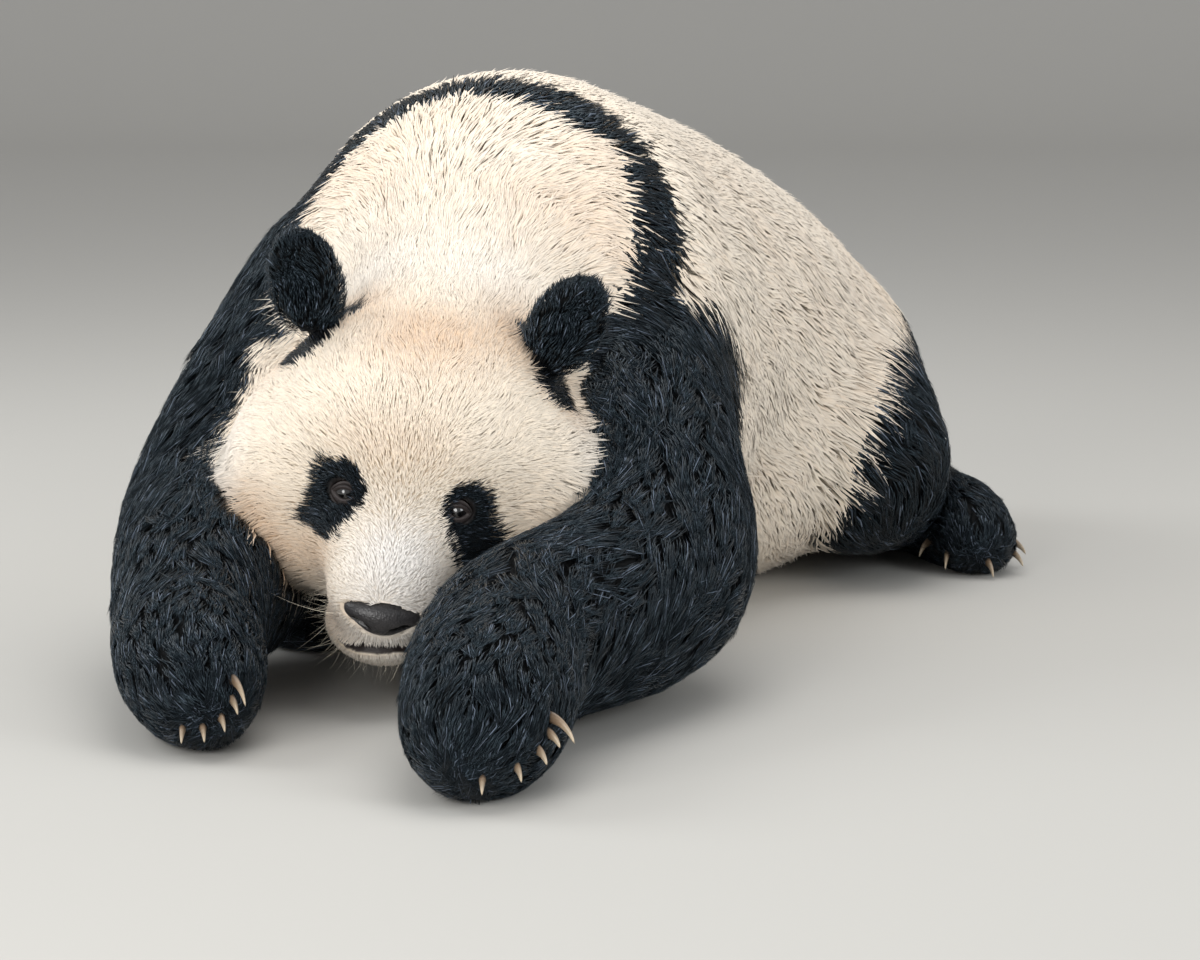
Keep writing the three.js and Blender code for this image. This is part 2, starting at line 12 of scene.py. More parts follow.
import bmesh
import bpy
import numpy as np
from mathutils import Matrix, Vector, kdtree
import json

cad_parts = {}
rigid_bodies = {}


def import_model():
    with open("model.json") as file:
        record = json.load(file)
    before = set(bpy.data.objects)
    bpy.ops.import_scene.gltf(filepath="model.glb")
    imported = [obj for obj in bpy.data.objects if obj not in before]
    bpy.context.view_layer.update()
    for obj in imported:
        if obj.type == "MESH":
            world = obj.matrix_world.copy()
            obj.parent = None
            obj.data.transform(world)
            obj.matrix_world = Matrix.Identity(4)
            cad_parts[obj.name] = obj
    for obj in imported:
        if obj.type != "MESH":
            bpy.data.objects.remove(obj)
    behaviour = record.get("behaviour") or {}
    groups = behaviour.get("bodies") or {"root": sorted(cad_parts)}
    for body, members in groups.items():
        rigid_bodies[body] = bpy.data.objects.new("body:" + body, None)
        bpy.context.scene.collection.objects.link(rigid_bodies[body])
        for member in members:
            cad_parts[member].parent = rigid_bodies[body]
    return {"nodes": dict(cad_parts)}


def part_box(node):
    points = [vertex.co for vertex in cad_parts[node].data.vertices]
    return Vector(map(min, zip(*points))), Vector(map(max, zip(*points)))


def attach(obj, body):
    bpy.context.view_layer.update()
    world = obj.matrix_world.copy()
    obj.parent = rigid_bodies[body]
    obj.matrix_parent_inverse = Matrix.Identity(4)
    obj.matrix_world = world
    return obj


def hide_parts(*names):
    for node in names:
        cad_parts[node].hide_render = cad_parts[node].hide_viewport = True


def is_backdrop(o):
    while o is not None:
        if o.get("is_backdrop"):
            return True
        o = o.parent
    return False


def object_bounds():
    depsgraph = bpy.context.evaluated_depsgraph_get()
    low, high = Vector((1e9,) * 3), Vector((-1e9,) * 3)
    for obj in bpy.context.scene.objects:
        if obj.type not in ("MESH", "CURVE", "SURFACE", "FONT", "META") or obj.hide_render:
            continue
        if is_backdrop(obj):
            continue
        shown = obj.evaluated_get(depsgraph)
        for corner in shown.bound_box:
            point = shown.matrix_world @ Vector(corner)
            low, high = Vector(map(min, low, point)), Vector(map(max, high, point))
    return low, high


STARTED = time.time()
for leftover in list(bpy.data.objects):
    bpy.data.objects.remove(leftover)
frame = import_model()
CAD_BOX = [list(corner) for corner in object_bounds()]
rng = np.random.default_rng(7)


def say(*words):
    """Prints words and the time so far."""
    print(*words, round(time.time() - STARTED, 1), "s")


say("frame:", len(frame["nodes"]), "nodes, box", CAD_BOX)

# %% [markdown]
# ## The body as a distance field
# A soft body has no edges to measure from, so its form is a rule instead: how far is a point from
# the surface? Eggs and rounded cones are easy rules, and a smooth minimum runs them together as
# flesh does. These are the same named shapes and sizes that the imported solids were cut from.
# Lengths here are millimetres in the modelling frame; they become metres in the mesh.

# %% Sizes of the animal
HEAD_AT, HEAD_YAW, HEAD_PITCH, HEAD_ROLL = np.array([-171.0, -270.0, 192.0]), -3, -17, 10
EYE_AT, EYE_RADIUS = (49, 104.5, 24), 11.5
EAR_AT, EAR_RADII = (116, -45, 145), (35, 20, 60)
NOSE_WIDTH = 68
SPINE = [[-84, 70, 318, 213], [-10, 250, 265, 226], [80, 430, 210, 212], [160, 598, 158, 182]]
RIGHT_ARM = [[-228, 40, 292, 128], [-298, -70, 215, 106], [-340, -180, 124, 102],
             [-356, -400, 78, 70], [-345, -505, 60, 65], [-332, -560, 48, 49]]
BREAST = [[-228, 30, 230, 100], [-252, -38, 70, 96]]
LEFT_ARM = [[0, 20, 275, 112], [28, -160, 185, 104], [40, -320, 106, 94],
            [-70, -539, 88, 79], [-92, -705, 62, 71], [-102, -762, 50, 51]]
LEFT_LEG = [[215, 570, 170, 132], [262, 330, 125, 100], [318, 560, 55, 56],
            [375, 440, 42, 52], [392, 370, 36, 42]]
TAIL = [[215, 712, 150, 60], [262, 812, 50, 42]]
SIDES = (("left", 1), ("right", -1))


def unit(v):
    v = np.asarray(v, float)
    return v / np.maximum(np.linalg.norm(v, axis=-1, keepdims=True), 1e-9)


def axes_of(yaw, pitch, roll):
    """Left, forward and up of something that looks along yaw and pitch and leans by roll."""
    y, p, r = np.radians([yaw, pitch, roll])
    forward = np.array([np.sin(y) * np.cos(p), -np.cos(y) * np.cos(p), np.sin(p)])
    level = np.array([np.cos(y), np.sin(y), 0.0])
    above = -np.cross(level, forward)
    above = above if above[2] > 0 else -above
    return np.stack([level * np.cos(r) - above * np.sin(r), forward,
                     above * np.cos(r) + level * np.sin(r)], 1)


HEAD = axes_of(HEAD_YAW, HEAD_PITCH, HEAD_ROLL)
LEVEL = np.eye(3)


def in_head(x, f, u):
    return HEAD_AT + HEAD @ np.array([x, f, u], float)


def head_xyz(P):
    """Points in the head's own frame: to its left, forward, up."""
    return (P - HEAD_AT) @ HEAD


def over_spine(joint):
    """A joint mirrored over the upright plane through the last length of backbone."""
    a, b = np.array(SPINE[1][:2], float), np.array(SPINE[3][:2], float)
    across = unit([b[1] - a[1], a[0] - b[0]])
    off = (np.array(joint[:2]) - b) @ across
    return [*(np.array(joint[:2]) - 2 * off * across), *joint[2:]]


RIGHT_LEG = [over_spine(j) for j in LEFT_LEG]
socket_low, socket_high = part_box("eye_left")
SHIFT = np.round(in_head(*EYE_AT) - 1000 * np.array((socket_low + socket_high) / 2), 2)
to_metres = lambda P: (np.asarray(P) - SHIFT) / 1000
print("the modelling frame is moved by", SHIFT, "mm")

# %% The rules that shapes are made of
def egg(centre, radii, axes=LEVEL):
    c, r = np.array(centre, float), np.array(radii, float)

    def field(P):
        q = (P - c) @ axes
        k0 = np.sqrt(((q / r) ** 2).sum(-1))
        k1 = np.sqrt(((q / (r * r)) ** 2).sum(-1))
        return k0 * (k0 - 1) / np.maximum(k1, 1e-9)
    return field


def head_egg(centre, radii, axes=HEAD):
    return egg(in_head(*centre), radii, axes)


def cone(a, b):
    """A rounded cone between two joints [x, y, z, radius]."""
    a, b = np.array(a, float), np.array(b, float)
    run = b[:3] - a[:3]

    def field(P):
        q = P - a[:3]
        t = np.clip(q @ run / (run @ run), 0, 1)
        q = q - t[..., None] * run
        return np.sqrt((q * q).sum(-1)) - (a[3] + (b[3] - a[3]) * t)
    return field


def chain(joints):
    """Rounded cones from joint to joint."""
    pieces = [cone(a, b) for a, b in zip(joints[:-1], joints[1:])]
    return lambda P: np.minimum.reduce([piece(P) for piece in pieces])


def head_chain(joints, s=1):
    """The same through joints of the head's frame, on one side of it."""
    return chain([[*in_head(s * x, f, u), r] for x, f, u, r in joints])


def path_of(joints, steps=4):
    """Catmull-Rom points through joints."""
    j = np.array([joints[0], *joints, joints[-1]], float)
    path = []
    for a, b, c, d in zip(j[:-3], j[1:-2], j[2:-1], j[3:]):
        for t in np.arange(steps) / steps:
            path.append(0.5 * (2 * b + (c - a) * t + (2 * a - 5 * b + 4 * c - d) * t * t
                               + (3 * b - a - 3 * c + d) * t ** 3))
    return np.array(path + [j[-1]])


def tube(joints, steps=4):
    return chain(path_of(joints, steps))


def soft_min(d, e, soft):
    h = np.maximum(soft - np.abs(d - e), 0) / soft
    return np.minimum(d, e) - h ** 3 * soft / 6


def merge(soft, *fields):
    def field(P):
        d = fields[0](P)
        for other in fields[1:]:
            d = soft_min(d, other(P), soft)
        return d
    return field


def without(soft, solid, hole):
    return lambda P: -soft_min(-solid(P), hole(P), soft)


def ease(low, high, x):
    """From 0 at low to 1 at high, without a corner."""
    t = np.clip((x - low) / (high - low), 0, 1)
    return t * t * (3 - 2 * t)


# %% The animal's parts
def ear_axes(side):
    return HEAD @ axes_of(side * 30, 0, side * 25)


def ear_field(side):
    x, f, u = EAR_AT
    shell = head_egg((side * x, f, u), EAR_RADII, ear_axes(side))
    hollow = head_egg((side * x, f + 33, u + 13), (24, 24, 38), ear_axes(side))
    return without(10, shell, hollow)


skull = merge(50, head_egg((0, -18, 12), (138, 132, 116)),
              head_egg((-84, -6, -14), (80, 88, 82)), head_egg((92, -4, -12), (84, 90, 98)),
              head_egg((-50, 36, -56), (52, 60, 42)), head_egg((54, 40, -78), (58, 66, 48)),
              head_egg((0, 52, 46), (88, 62, 58)))
muzzle = merge(40, skull, head_egg((0, 92, -26), (64, 62, 54)), head_egg((0, 142, -50), (50, 42, 42)))
face = merge(30, muzzle, head_egg((-2, 118, -92), (48, 50, 32)))
PARTS = {
    "head": merge(80, face, cone([*in_head(0, -40, 0), 122], [-120, -60, 290, 142])),
    "ear_left": ear_field(1), "ear_right": ear_field(-1),
    "neck": cone([-130, -110, 262, 128], [-92, 70, 330, 172]),
    "trunk": merge(90, tube(SPINE), egg((-70, 60, 185), (205, 190, 200), axes_of(-12, 0, 0)),
                   egg((60, 380, 150), (228, 260, 160), axes_of(-24, 0, 0))),
    "arm_left": tube(LEFT_ARM), "arm_right": merge(40, tube(RIGHT_ARM), cone(*BREAST)),
    "leg_left": tube(LEFT_LEG, 3), "leg_right": tube(RIGHT_LEG, 3), "tail": cone(*TAIL)}


def measure(P):
    """Distance to each part, by name."""
    return {name: field(P) for name, field in PARTS.items()}


def whole(P, d=None):
    """Distance to the outline of the coat, without the floor."""
    d = d or measure(P)
    body = soft_min(soft_min(d["trunk"], d["neck"], 90), d["arm_right"], 50)
    for name in ("arm_left", "leg_left", "leg_right", "tail"):
        body = soft_min(body, d[name], 40)
    body = soft_min(body, d["head"], 16)
    for name in ("ear_left", "ear_right"):
        body = soft_min(body, d[name], 12)
    return body


def slope(field, P, h=1.0):
    """The way a field grows fastest, as a unit vector."""
    g = [field(P + h * axis) - field(P - h * axis) for axis in LEVEL]
    return unit(np.stack(g, -1))


def outer(P, normal=None):
    """The places on the coat's outline above points of the skin."""
    normal = slope(whole, P, 3.0) if normal is None else normal
    return P - normal * whole(P)[..., None]


# %% [markdown]
# ## How deep and how long the coat is
# A panda's fur is short and close on the muzzle and round the eyes, deep on the cheeks and nape,
# and long and wavy on the forelegs. One table gives each part its depth (how far the skin lies
# under the outline), the length of a tuft and its width, how far apart the tufts are and how far
# they gather into locks. Near two parts at once the values blend, so that no step shows.

# %% The coat's table
#          depth, length, width, spacing, lock (how far hairs gather into locks)
EAR_COAT, ARM_COAT = (6, 18, 1.3, 2.0, 0.25), (11, 68, 1.35, 2.95, 0.7)
COAT = {"head": (7.5, 27, 1.45, 1.8, 0.2), "ear_left": EAR_COAT, "ear_right": EAR_COAT,
        "neck": (7, 34, 1.7, 1.95, 0.15), "trunk": (9, 44, 3.1, 4.1, 0.15),
        "arm_left": ARM_COAT, "arm_right": ARM_COAT, "leg_left": (11, 46, 2.2, 4.6, 0.45),
        "leg_right": (11, 46, 2.3, 5.0, 0.45), "tail": (12, 42, 2.4, 4.4, 0.40)}
FACE = (4.5, 13, 0.95, 1.55, 0.12)
MUZZLE = (2.5, 7.5, 0.85, 1.35, 0.22)
PAW = (8, 40, 1.2, 2.45, 0.6)
PAWS = [LEFT_ARM[4], RIGHT_ARM[4], LEFT_LEG[3], RIGHT_LEG[3]]


def shares(d, reach=22.0):
    """How much each part counts at a point: the nearest most."""
    names = list(d)
    near = np.stack([d[n] for n in names], -1)
    w = np.exp(-(near - near.min(-1, keepdims=True)) / reach)
    return names, w / w.sum(-1, keepdims=True)


def eye_gap(P):
    """Distance to the nearer eye's centre."""
    return np.minimum.reduce([np.linalg.norm(P - in_head(s * EYE_AT[0], *EYE_AT[1:]), axis=-1)
                              for _, s in SIDES])


def ruff(P, d):
    """How far inside the ruff a point is: the cream hair behind the right cheek, over the foreleg."""
    x, f, _ = np.moveaxis(head_xyz(P), -1, 0)
    reach = np.minimum(-8.5 - 0.31 * f, 45) - d["head"] - 70 * ease(300, 335, P[..., 2])
    return reach - 60 * ease(-60, 0, x) - 60 * ease(-30, -10, f)


def coat_values(P, d=None):
    """Depth, length, width, spacing and lock at each point, in five columns."""
    d = d or measure(P)
    names, w = shares(d)
    values = w @ np.array([COAT[n] for n in names], float)
    x, f, _ = np.moveaxis(head_xyz(P), -1, 0)
    head_share = w[..., names.index("head")]
    on_head = head_share * ease(0.3, 0.8, head_share)

    def blend(share, goal, first=0):
        values[..., first:] += share[..., None] * (np.array(goal[first:]) - values[..., first:])

    blend(on_head * ease(35, 95, f - 0.25 * np.abs(x)), FACE)
    blend(on_head * ease(95, 135, f), MUZZLE)
    blend(on_head * ease(46, 18, eye_gap(P)), MUZZLE)
    at_paw = [ease(150, 60, np.linalg.norm(P - paw[:3], axis=-1)) for paw in PAWS]
    blend(np.maximum.reduce(at_paw) * (1 - on_head), PAW)
    blend(ease(-22, 2, ruff(P, d)) * (1 - on_head), COAT["head"], 1)
    lips = on_head * np.minimum(mouth(P), nose_pad(P)) + 99 * (1 - on_head)
    values[..., 1] = np.minimum(values[..., 1], 4.6 + 0.8 * np.maximum(lips, 0))
    return values


# %% [markdown]
# ## The markings
# Black and cream are areas on the body, so each is a rule as well: a signed distance in
# millimetres, positive inside the black. The skin and every tuft ask the same rules, so the
# markings of the coat and of the skin under it always agree.

# %% Where the coat is black
# The black eye patches, two circles each: across, up and radius in the head's frame.
PATCH = {1: ((55, 29, 22), (74, -25, 15)), -1: ((54, 29, 25), (67, -6, 16))}
WITHERS, BACKBONE = np.array(SPINE[0][:3], float), unit([74, 180, -53])
# Angle round the backbone from the top (to the animal's left is positive), and how far back the
# cream nape ends and the cream back begins there.
NAPE_END = ([-180, -120, -80, -60, -30, 0, 23, 37, 48, 63, 79, 90, 102, 122, 150, 180],
            [-210, -205, -186, -163, -158, -153, -147, -135, -126, -137, -146, -154, -168, -228, -230, -210])
BACK_START = ([-180, -110, -75, -50, -20, 0, 20, 40, 58, 76, 96, 125, 180],
              [-40, -50, -92, -114, -128, -124, -108, -98, -84, -88, -112, -60, -40])


def ripple(P, size, seed):
    """Smooth wandering between about -1 and 1, with bumps of a given size."""
    draw = np.random.default_rng(seed)
    total = np.zeros(P.shape[:-1])
    for _ in range(7):
        way = unit(draw.normal(size=3)) * draw.uniform(0.6, 1.6) * 2 * math.pi / size
        total += np.sin(P @ way + draw.uniform(0, 2 * math.pi))
    return total / 3.0


def flat_cone(x, u, a, b):
    """Distance, seen from in front, to two circles and the straight run between them."""
    ax, au, ar = a
    dx, du = b[0] - ax, b[1] - au
    t = np.clip(((x - ax) * dx + (u - au) * du) / (dx * dx + du * du), 0, 1)
    return np.hypot(x - ax - t * dx, u - au - t * du) - (ar + (b[2] - ar) * t)


def band(P):
    """How far before the black band a point lies, and how far before the band's rear edge."""
    left = unit(np.cross(BACKBONE, [0, 0, 1.0]))
    q = P - WITHERS
    along, angle = q @ BACKBONE, np.degrees(np.arctan2(q @ left, q @ np.cross(left, BACKBONE)))
    return np.interp(angle, *NAPE_END) - along, np.interp(angle, *BACK_START) - along


def blackness(P, d=None):
    """How far inside a black marking a point is, in millimetres."""
    d = d or measure(P)
    x, f, u = np.moveaxis(head_xyz(P), -1, 0)
    head = d["head"]
    others, nearer_arm = np.minimum(d["trunk"], d["neck"]), np.minimum(d["arm_left"], d["arm_right"])
    nape, rear = band(P)
    # The band over the shoulders, then the legs. The nape's cream holds back the forelegs' black.
    dark = np.minimum(-nape, rear)
    low, side_on, far_before = ease(300, 220, P[..., 2]), ease(-266, -288, P[..., 0]), ease(40, 70, nape)
    below_nape = -nape + 2000 * np.maximum.reduce([low, side_on, far_before])
    for side, _ in SIDES:
        arm = d["arm_" + side]
        foreleg = np.minimum(others - arm + 14, head - arm + 8)
        dark = np.maximum(dark, np.minimum(foreleg, below_nape))
        dark = np.maximum(dark, others - d["leg_" + side] + 4)
    # The head, the ruff and the tail are cream.
    dark = np.where(head < nearer_arm - 8, np.minimum(dark, np.maximum(-nape, -40)), dark)
    on_head = (f > -98) & (head - np.minimum(others, nearer_arm) < -8)
    dark = np.where(on_head, np.minimum(dark, -20), dark)
    dark = np.minimum(dark, np.maximum(-ruff(P, d), -nape - 18))
    dark = np.minimum(dark, d["tail"] - 6)
    # The ears, each with a point that runs down before its root, and the patches round the eyes.
    for _, s in SIDES:
        ex, ef, eu = EAR_AT
        shell = head_egg((s * ex, ef, eu), EAR_RADII, ear_axes(s))
        point = head_egg((s * (ex - 12), ef + 24, eu - 46), (16, 26, 22))
        dark = np.maximum(dark, 7 - soft_min(shell(P), point(P), 18))
        patch = -flat_cone(s * x, u, *PATCH[s])
        dark = np.maximum(dark, np.where((f > 55) & (head < d["arm_left"] + 8), patch, -40))
    return dark


def stain(P, spots):
    """Soft spots of colour on the head, each a place, its reach and its strength."""
    h = head_xyz(P)
    return sum(strength * np.exp(-(((h - at) / reach) ** 2).sum(-1)) for at, reach, strength in spots)


TAN_SPOTS = [((8, 10, 134), (56, 40, 34), 0.75), ((0, -10, 125), (104, 60, 42), 0.35),
             ((-72, -64, 124), (34, 34, 30), 0.8), ((72, -50, 128), (32, 34, 30), 0.8),
             ((-122, -60, 60), (34, 60, 50), 0.85), ((119, -20, 92), (28, 44, 34), 0.8),
             ((-118, 75, -32), (32, 46, 42), 0.9), ((-91, 89, -49), (36, 34, 26), 0.6),
             ((-60, 120, -39), (20, 34, 34), 0.55), ((-40, 155, -78), (26, 30, 18), 0.5),
             ((0, 100, 74), (60, 50, 34), 0.3), ((112, 60, -10), (40, 50, 46), 0.5),
             ((-71, -268, 173), (60, 70, 60), 0.3), ((89, -225, 197), (44, 60, 50), 0.35)]
# Spots of white on the head. The last two, on the outer edge of each cheek, are painted rim light.
WHITE_AND_RIM_LIGHT_SPOTS = [((4, 146, -14), (40, 44, 40), 1.0), ((8, 166, -60), (44, 40, 40), 0.8),
              ((20, 130, -95), (50, 50, 30), 0.5), ((-60, -123, 127), (44, 40, 40), 0.35),
              ((42, -109, 147), (44, 40, 40), 0.35), ((-148, 10, -10), (26, 70, 60), 0.6),
              ((154, 10, 20), (26, 70, 70), 0.7)]


def tan(P):
    """How warm the cream is: tan on the crown, the outer cheeks and round the ears."""
    back = (0.12 + 0.12 * ripple(P, 300, 5)) * ease(-100, -220, head_xyz(P)[..., 1])
    return np.clip(stain(P, TAN_SPOTS) + 0.12 * ripple(P, 90, 4) + back, 0, 1)


def pale(P):
    """How white the cream is: white on top of the muzzle, round the mouth and on the nape, with painted rim light
    along the outer edge of each cheek.
    """
    nape = 0.12 * ease(-60, -190, head_xyz(P)[..., 1]) * ease(560, 380, P[..., 1])
    return np.clip(stain(P, WHITE_AND_RIM_LIGHT_SPOTS) + nape, 0, 1)


# %% [markdown]
# ## The skin
# One skin runs over the whole body, so no seam can show. It is the surface of the same field,
# sunk by the depth of the coat. The mouth is a groove between the lips, and the eyes and the nose
# leather sit in hollows. The surface is found on a grid: every grid cube that it crosses gets one
# vertex, and the face is then divided more finely and drawn onto the field again.

# %% The skin's field
# Joints of the parted lips: left, forward, up in the head's frame, and half the height of the gap.
MOUTH = [(-48, 124, -80, 1.2), (-36, 146, -92, 2.2), (-26, 157, -96, 4.2), (-13, 166, -93, 5.4),
         (2, 169, -90, 5.8), (16, 166, -88, 5.0), (28, 158, -91, 3.6), (40, 142, -87, 2.0), (50, 124, -78, 1.2)]
FLOOR_GAP = 3.0


def creases(P):
    """Soft folds of loose hide over the withers, in millimetres of depth."""
    nape = band(P)[0]
    near = np.exp(-((nape + 26) / 34.0) ** 2) * ease(200, 300, P[..., 2])
    return near * 5 * (0.5 + 0.5 * np.cos((nape + 9 * ripple(P, 150, 8)) / 7.0))


mouth = head_chain(MOUTH)
nose_pad = merge(14, head_egg((0, 168, -54), (NOSE_WIDTH / 2, 19, 14)), head_egg((0, 166, -62), (19, 17, 13)))
sockets = [egg(in_head(s * EYE_AT[0], *EYE_AT[1:]), (EYE_RADIUS + 0.6,) * 3) for _, s in SIDES]


def skin(P):
    """The outline sunk by the coat's depth and the folds, and hollowed for eyes, lips and nose."""
    d = measure(P)
    sunk = whole(P, d) + coat_values(P, d)[..., 0] + creases(P)
    for hollow in (*sockets, mouth):
        sunk = -soft_min(-sunk, hollow(P), 3)
    return np.maximum(np.maximum(sunk, -nose_pad(P) - 2.5), FLOOR_GAP - P[..., 2])


# %% From a field to a mesh
def surface_net(field, low, high, cell, block=8):
    """Vertices and quads of a field's surface. Only blocks of the grid near it are measured finely."""
    low = np.array(low, float)
    blocks = np.ceil((np.array(high) - low) / (cell * block)).astype(int)
    corner = np.stack(np.meshgrid(*map(np.arange, blocks), indexing="ij"), -1).reshape(-1, 3) * block
    inner = np.stack(np.meshgrid(*[np.arange(block)] * 3, indexing="ij"), -1)
    rough = field(low + (corner + block / 2) * cell)
    f = np.tile(rough[:, None, None, None], (1, block, block, block))
    near = np.flatnonzero(np.abs(rough) < block * cell * 1.5)
    for part in np.array_split(near, max(1, len(near) // 300)):
        f[part] = field(low + (corner[part][:, None, None, None] + inner) * cell)
    f = f.reshape(*blocks, block, block, block).transpose(0, 3, 1, 4, 2, 5).reshape(blocks * block)

    # Where an edge of the grid crosses the surface, the four cubes round that edge share a quad.
    n = np.array(f.shape)
    total, hits = np.zeros((*(n - 1), 3)), np.zeros(n - 1)
    crossings = []
    for axis in range(3):
        a, b = f.take(range(n[axis] - 1), axis), f.take(range(1, n[axis]), axis)
        at = np.argwhere((a < 0) != (b < 0))
        a, b = a[tuple(at.T)], b[tuple(at.T)]
        point = at.astype(float)
        point[:, axis] += a / (a - b)
        steps = np.zeros((4, 3), int)
        steps[1:3, (axis + 1) % 3] = steps[2:, (axis + 2) % 3] = -1
        cubes = [at + step for step in steps]
        inside = [((c >= 0) & (c < n - 1)).all(1) for c in cubes]
        for c, ok in zip(cubes, inside):
            np.add.at(total, tuple(c[ok].T), point[ok])
            np.add.at(hits, tuple(c[ok].T), 1)
        crossings.append((cubes, np.logical_and.reduce(inside), a < 0))

    used = hits > 0
    number = np.cumsum(used).reshape(used.shape) - 1
    points = low + total[used] / hits[used][:, None] * cell
    quads = []
    for cubes, ok, outward_ in crossings:
        q = np.stack([number[tuple(c[ok].T)] for c in cubes], 1)
        q[~outward_[ok]] = q[~outward_[ok]][:, ::-1]
        quads.append(q)
    return points, np.concatenate(quads)


def drawn_onto(field, points, times=3, step=0.6, most=4.0):
    """Points moved along the slope until they lie on the surface."""
    for _ in range(times):
        away = np.clip(field(points), -most, most)
        points = points - slope(field, points, step) * away[:, None]
    return points


def placed(name, data):
    """An object in the scene that holds a mesh, a lamp or a camera."""
    made = bpy.data.objects.new(name, data)
    bpy.context.scene.collection.objects.link(made)
    return made


def mesh_of(name, points, faces):
    """A smooth mesh from points in millimetres of the modelling frame."""
    mesh = bpy.data.meshes.new(name)
    mesh.from_pydata(to_metres(points).tolist(), [], faces if isinstance(faces, list) else faces.tolist())
    mesh.shade_smooth()
    return mesh


def mesh_object(name, points, faces):
    return placed(name, mesh_of(name, points, faces))


def store(mesh, **columns):
    """Keeps a value for each point of a mesh, by name, for its material to read."""
    for key, values in columns.items():
        made = mesh.attributes.new(key, "FLOAT", "POINT")
        made.data.foreach_set("value", np.asarray(values, np.float32))


def coords(mesh):
    co = np.empty(len(mesh.vertices) * 3, np.float32)
    mesh.vertices.foreach_get("co", co)
    return co.reshape(-1, 3).astype(float) * 1000 + SHIFT


# %% The skin's mesh
SKIN_CELL = 8.0
points, quads = surface_net(skin, (-520, -870, -30), (560, 930, 640), SKIN_CELL)
body_skin = mesh_object("skin", drawn_onto(skin, points, 1), quads)
say("skin net:", len(points), "vertices")


def divide(mesh, wanted):
    """Splits each face whose corners are all wanted into four."""
    bm = bmesh.new()
    bm.from_mesh(mesh)
    keep = wanted(np.array([v.co for v in bm.verts]) * 1000 + SHIFT)
    edges = [e for e in bm.edges if keep[e.verts[0].index] and keep[e.verts[1].index]]
    bmesh.ops.subdivide_edges(bm, edges=edges, cuts=1, use_grid_fill=True)
    bm.to_mesh(mesh)
    bm.free()


def by_features(P):
    near = (eye_gap(P) < 30) | (mouth(P) < 14) | (nose_pad(P) < 10)
    return near & (head_xyz(P)[:, 1] > 60)


divide(body_skin.data, lambda P: (head_xyz(P)[:, 1] > 20) & (face(P) < 12))
divide(body_skin.data, by_features)
settled = to_metres(drawn_onto(skin, coords(body_skin.data), 3))
body_skin.data.vertices.foreach_set("co", settled.astype(np.float32).ravel())
body_skin.data.update()
say("skin:", len(body_skin.data.vertices), "vertices")

# %% [markdown]
# ## Which way the hair lies
# Hair grows away from the nose: back over the skull, down the cheeks, along the backbone, and
# down each limb to the toes, and it hangs a little under its own weight. At every root the ways
# of the nearest parts are blended and laid flat on the skin.

# %% The lie of the coat
PATHS = {"neck": path_of([[*in_head(0, 40, 20), 0], SPINE[0]]), "trunk": path_of(SPINE),
         "arm_left": path_of(LEFT_ARM), "arm_right": path_of(RIGHT_ARM),
         "leg_left": path_of(LEFT_LEG, 3), "leg_right": path_of(RIGHT_LEG, 3), "tail": path_of(TAIL)}
WHORL, SNOUT = in_head(0, 128, 10), in_head(0, 182, -40)


def run_of(path, P, reach=25.0):
    """The way a limb runs beside each point."""
    a, run = path[:-1, :3], np.diff(path[:, :3], axis=0)
    gaps = []
    for start, step in zip(a, run):
        t = np.clip((P - start) @ step / (step @ step), 0, 1)
        gaps.append(np.linalg.norm(P - start - t[:, None] * step, axis=1))
    w = np.exp(-(np.array(gaps) - np.min(gaps, 0)) / reach)
    return unit(w.T @ unit(run))


def lie(P, normal, d):
    """The way a hair lies at each root, flat on the skin."""
    names, w = shares(d, 14)
    down = np.array([0, 0, -1.0])
    total = np.zeros_like(P)
    h = head_xyz(P)
    for i, name in enumerate(names):
        if name == "head":
            upper = ease(-18, 22, h[:, 2])[:, None]
            way = unit(P - (SNOUT + upper * (WHORL - SNOUT)))
            way = way + down * 0.45 * ease(50, 120, np.abs(h[:, 0]))[:, None]
        elif name.startswith("ear"):
            s = 1 if name == "ear_left" else -1
            foot = in_head(s * (EAR_AT[0] - 14), EAR_AT[1], EAR_AT[2] - 62)
            way = unit(P - foot)
        else:
            way = run_of(PATHS[name], P) + down * (0.5 if name == "trunk" else 0.35)
        total += w[:, i:i + 1] * way
    total -= (total * normal).sum(1, keepdims=True) * normal
    return unit(total)


# %% Roots, scattered over the skin
def scatter(mesh, fewer=1.0):
    """Points on the skin, as close together as the coat's table says."""
    mesh.calc_loop_triangles()
    tri = np.empty(len(mesh.loop_triangles) * 3, np.int32)
    mesh.loop_triangles.foreach_get("vertices", tri)
    a, b, c = coords(mesh)[tri.reshape(-1, 3)].transpose(1, 0, 2)
    area = np.linalg.norm(np.cross(b - a, c - a), axis=1) / 2
    spacing = coat_values((a + b + c) / 3)[:, 3] * fewer
    cumulative = np.cumsum(area / spacing ** 2)
    steps = np.arange(int(cumulative[-1])) + rng.random(int(cumulative[-1]))
    pick = np.searchsorted(cumulative, steps).clip(0, len(a) - 1)
    u, v = rng.random((2, len(pick), 1))
    over = u + v > 1
    u, v = np.where(over, 1 - u, u), np.where(over, 1 - v, v)
    return a[pick] * (1 - u - v) + b[pick] * u + c[pick] * v


roots = scatter(body_skin.data, 1.0)
bare = (eye_gap(roots) < EYE_RADIUS + 2.2) | (nose_pad(roots) < 1.0) | (mouth(roots) < 1.2)
roots = roots[~bare & (roots[:, 2] > FLOOR_GAP + 1.5)]
d = measure(roots)
depth, length, width, _, lock = coat_values(roots, d).T
normal = slope(whole, roots, 3.0)
way = lie(roots, normal, d)
above = outer(roots, normal)
black_at = blackness(above)
say("roots:", len(roots))

# %% [markdown]
# ## The tufts
# A tuft is a closed, three-sided spindle with one bend: it rises from the skin and then lies down
# along the outline of the body. Neighbouring tufts lean towards the same leader, so that their
# tips close up into locks, as long fur does. Every tuft is six triangles, so a whole coat
# stays light enough to render and to export.

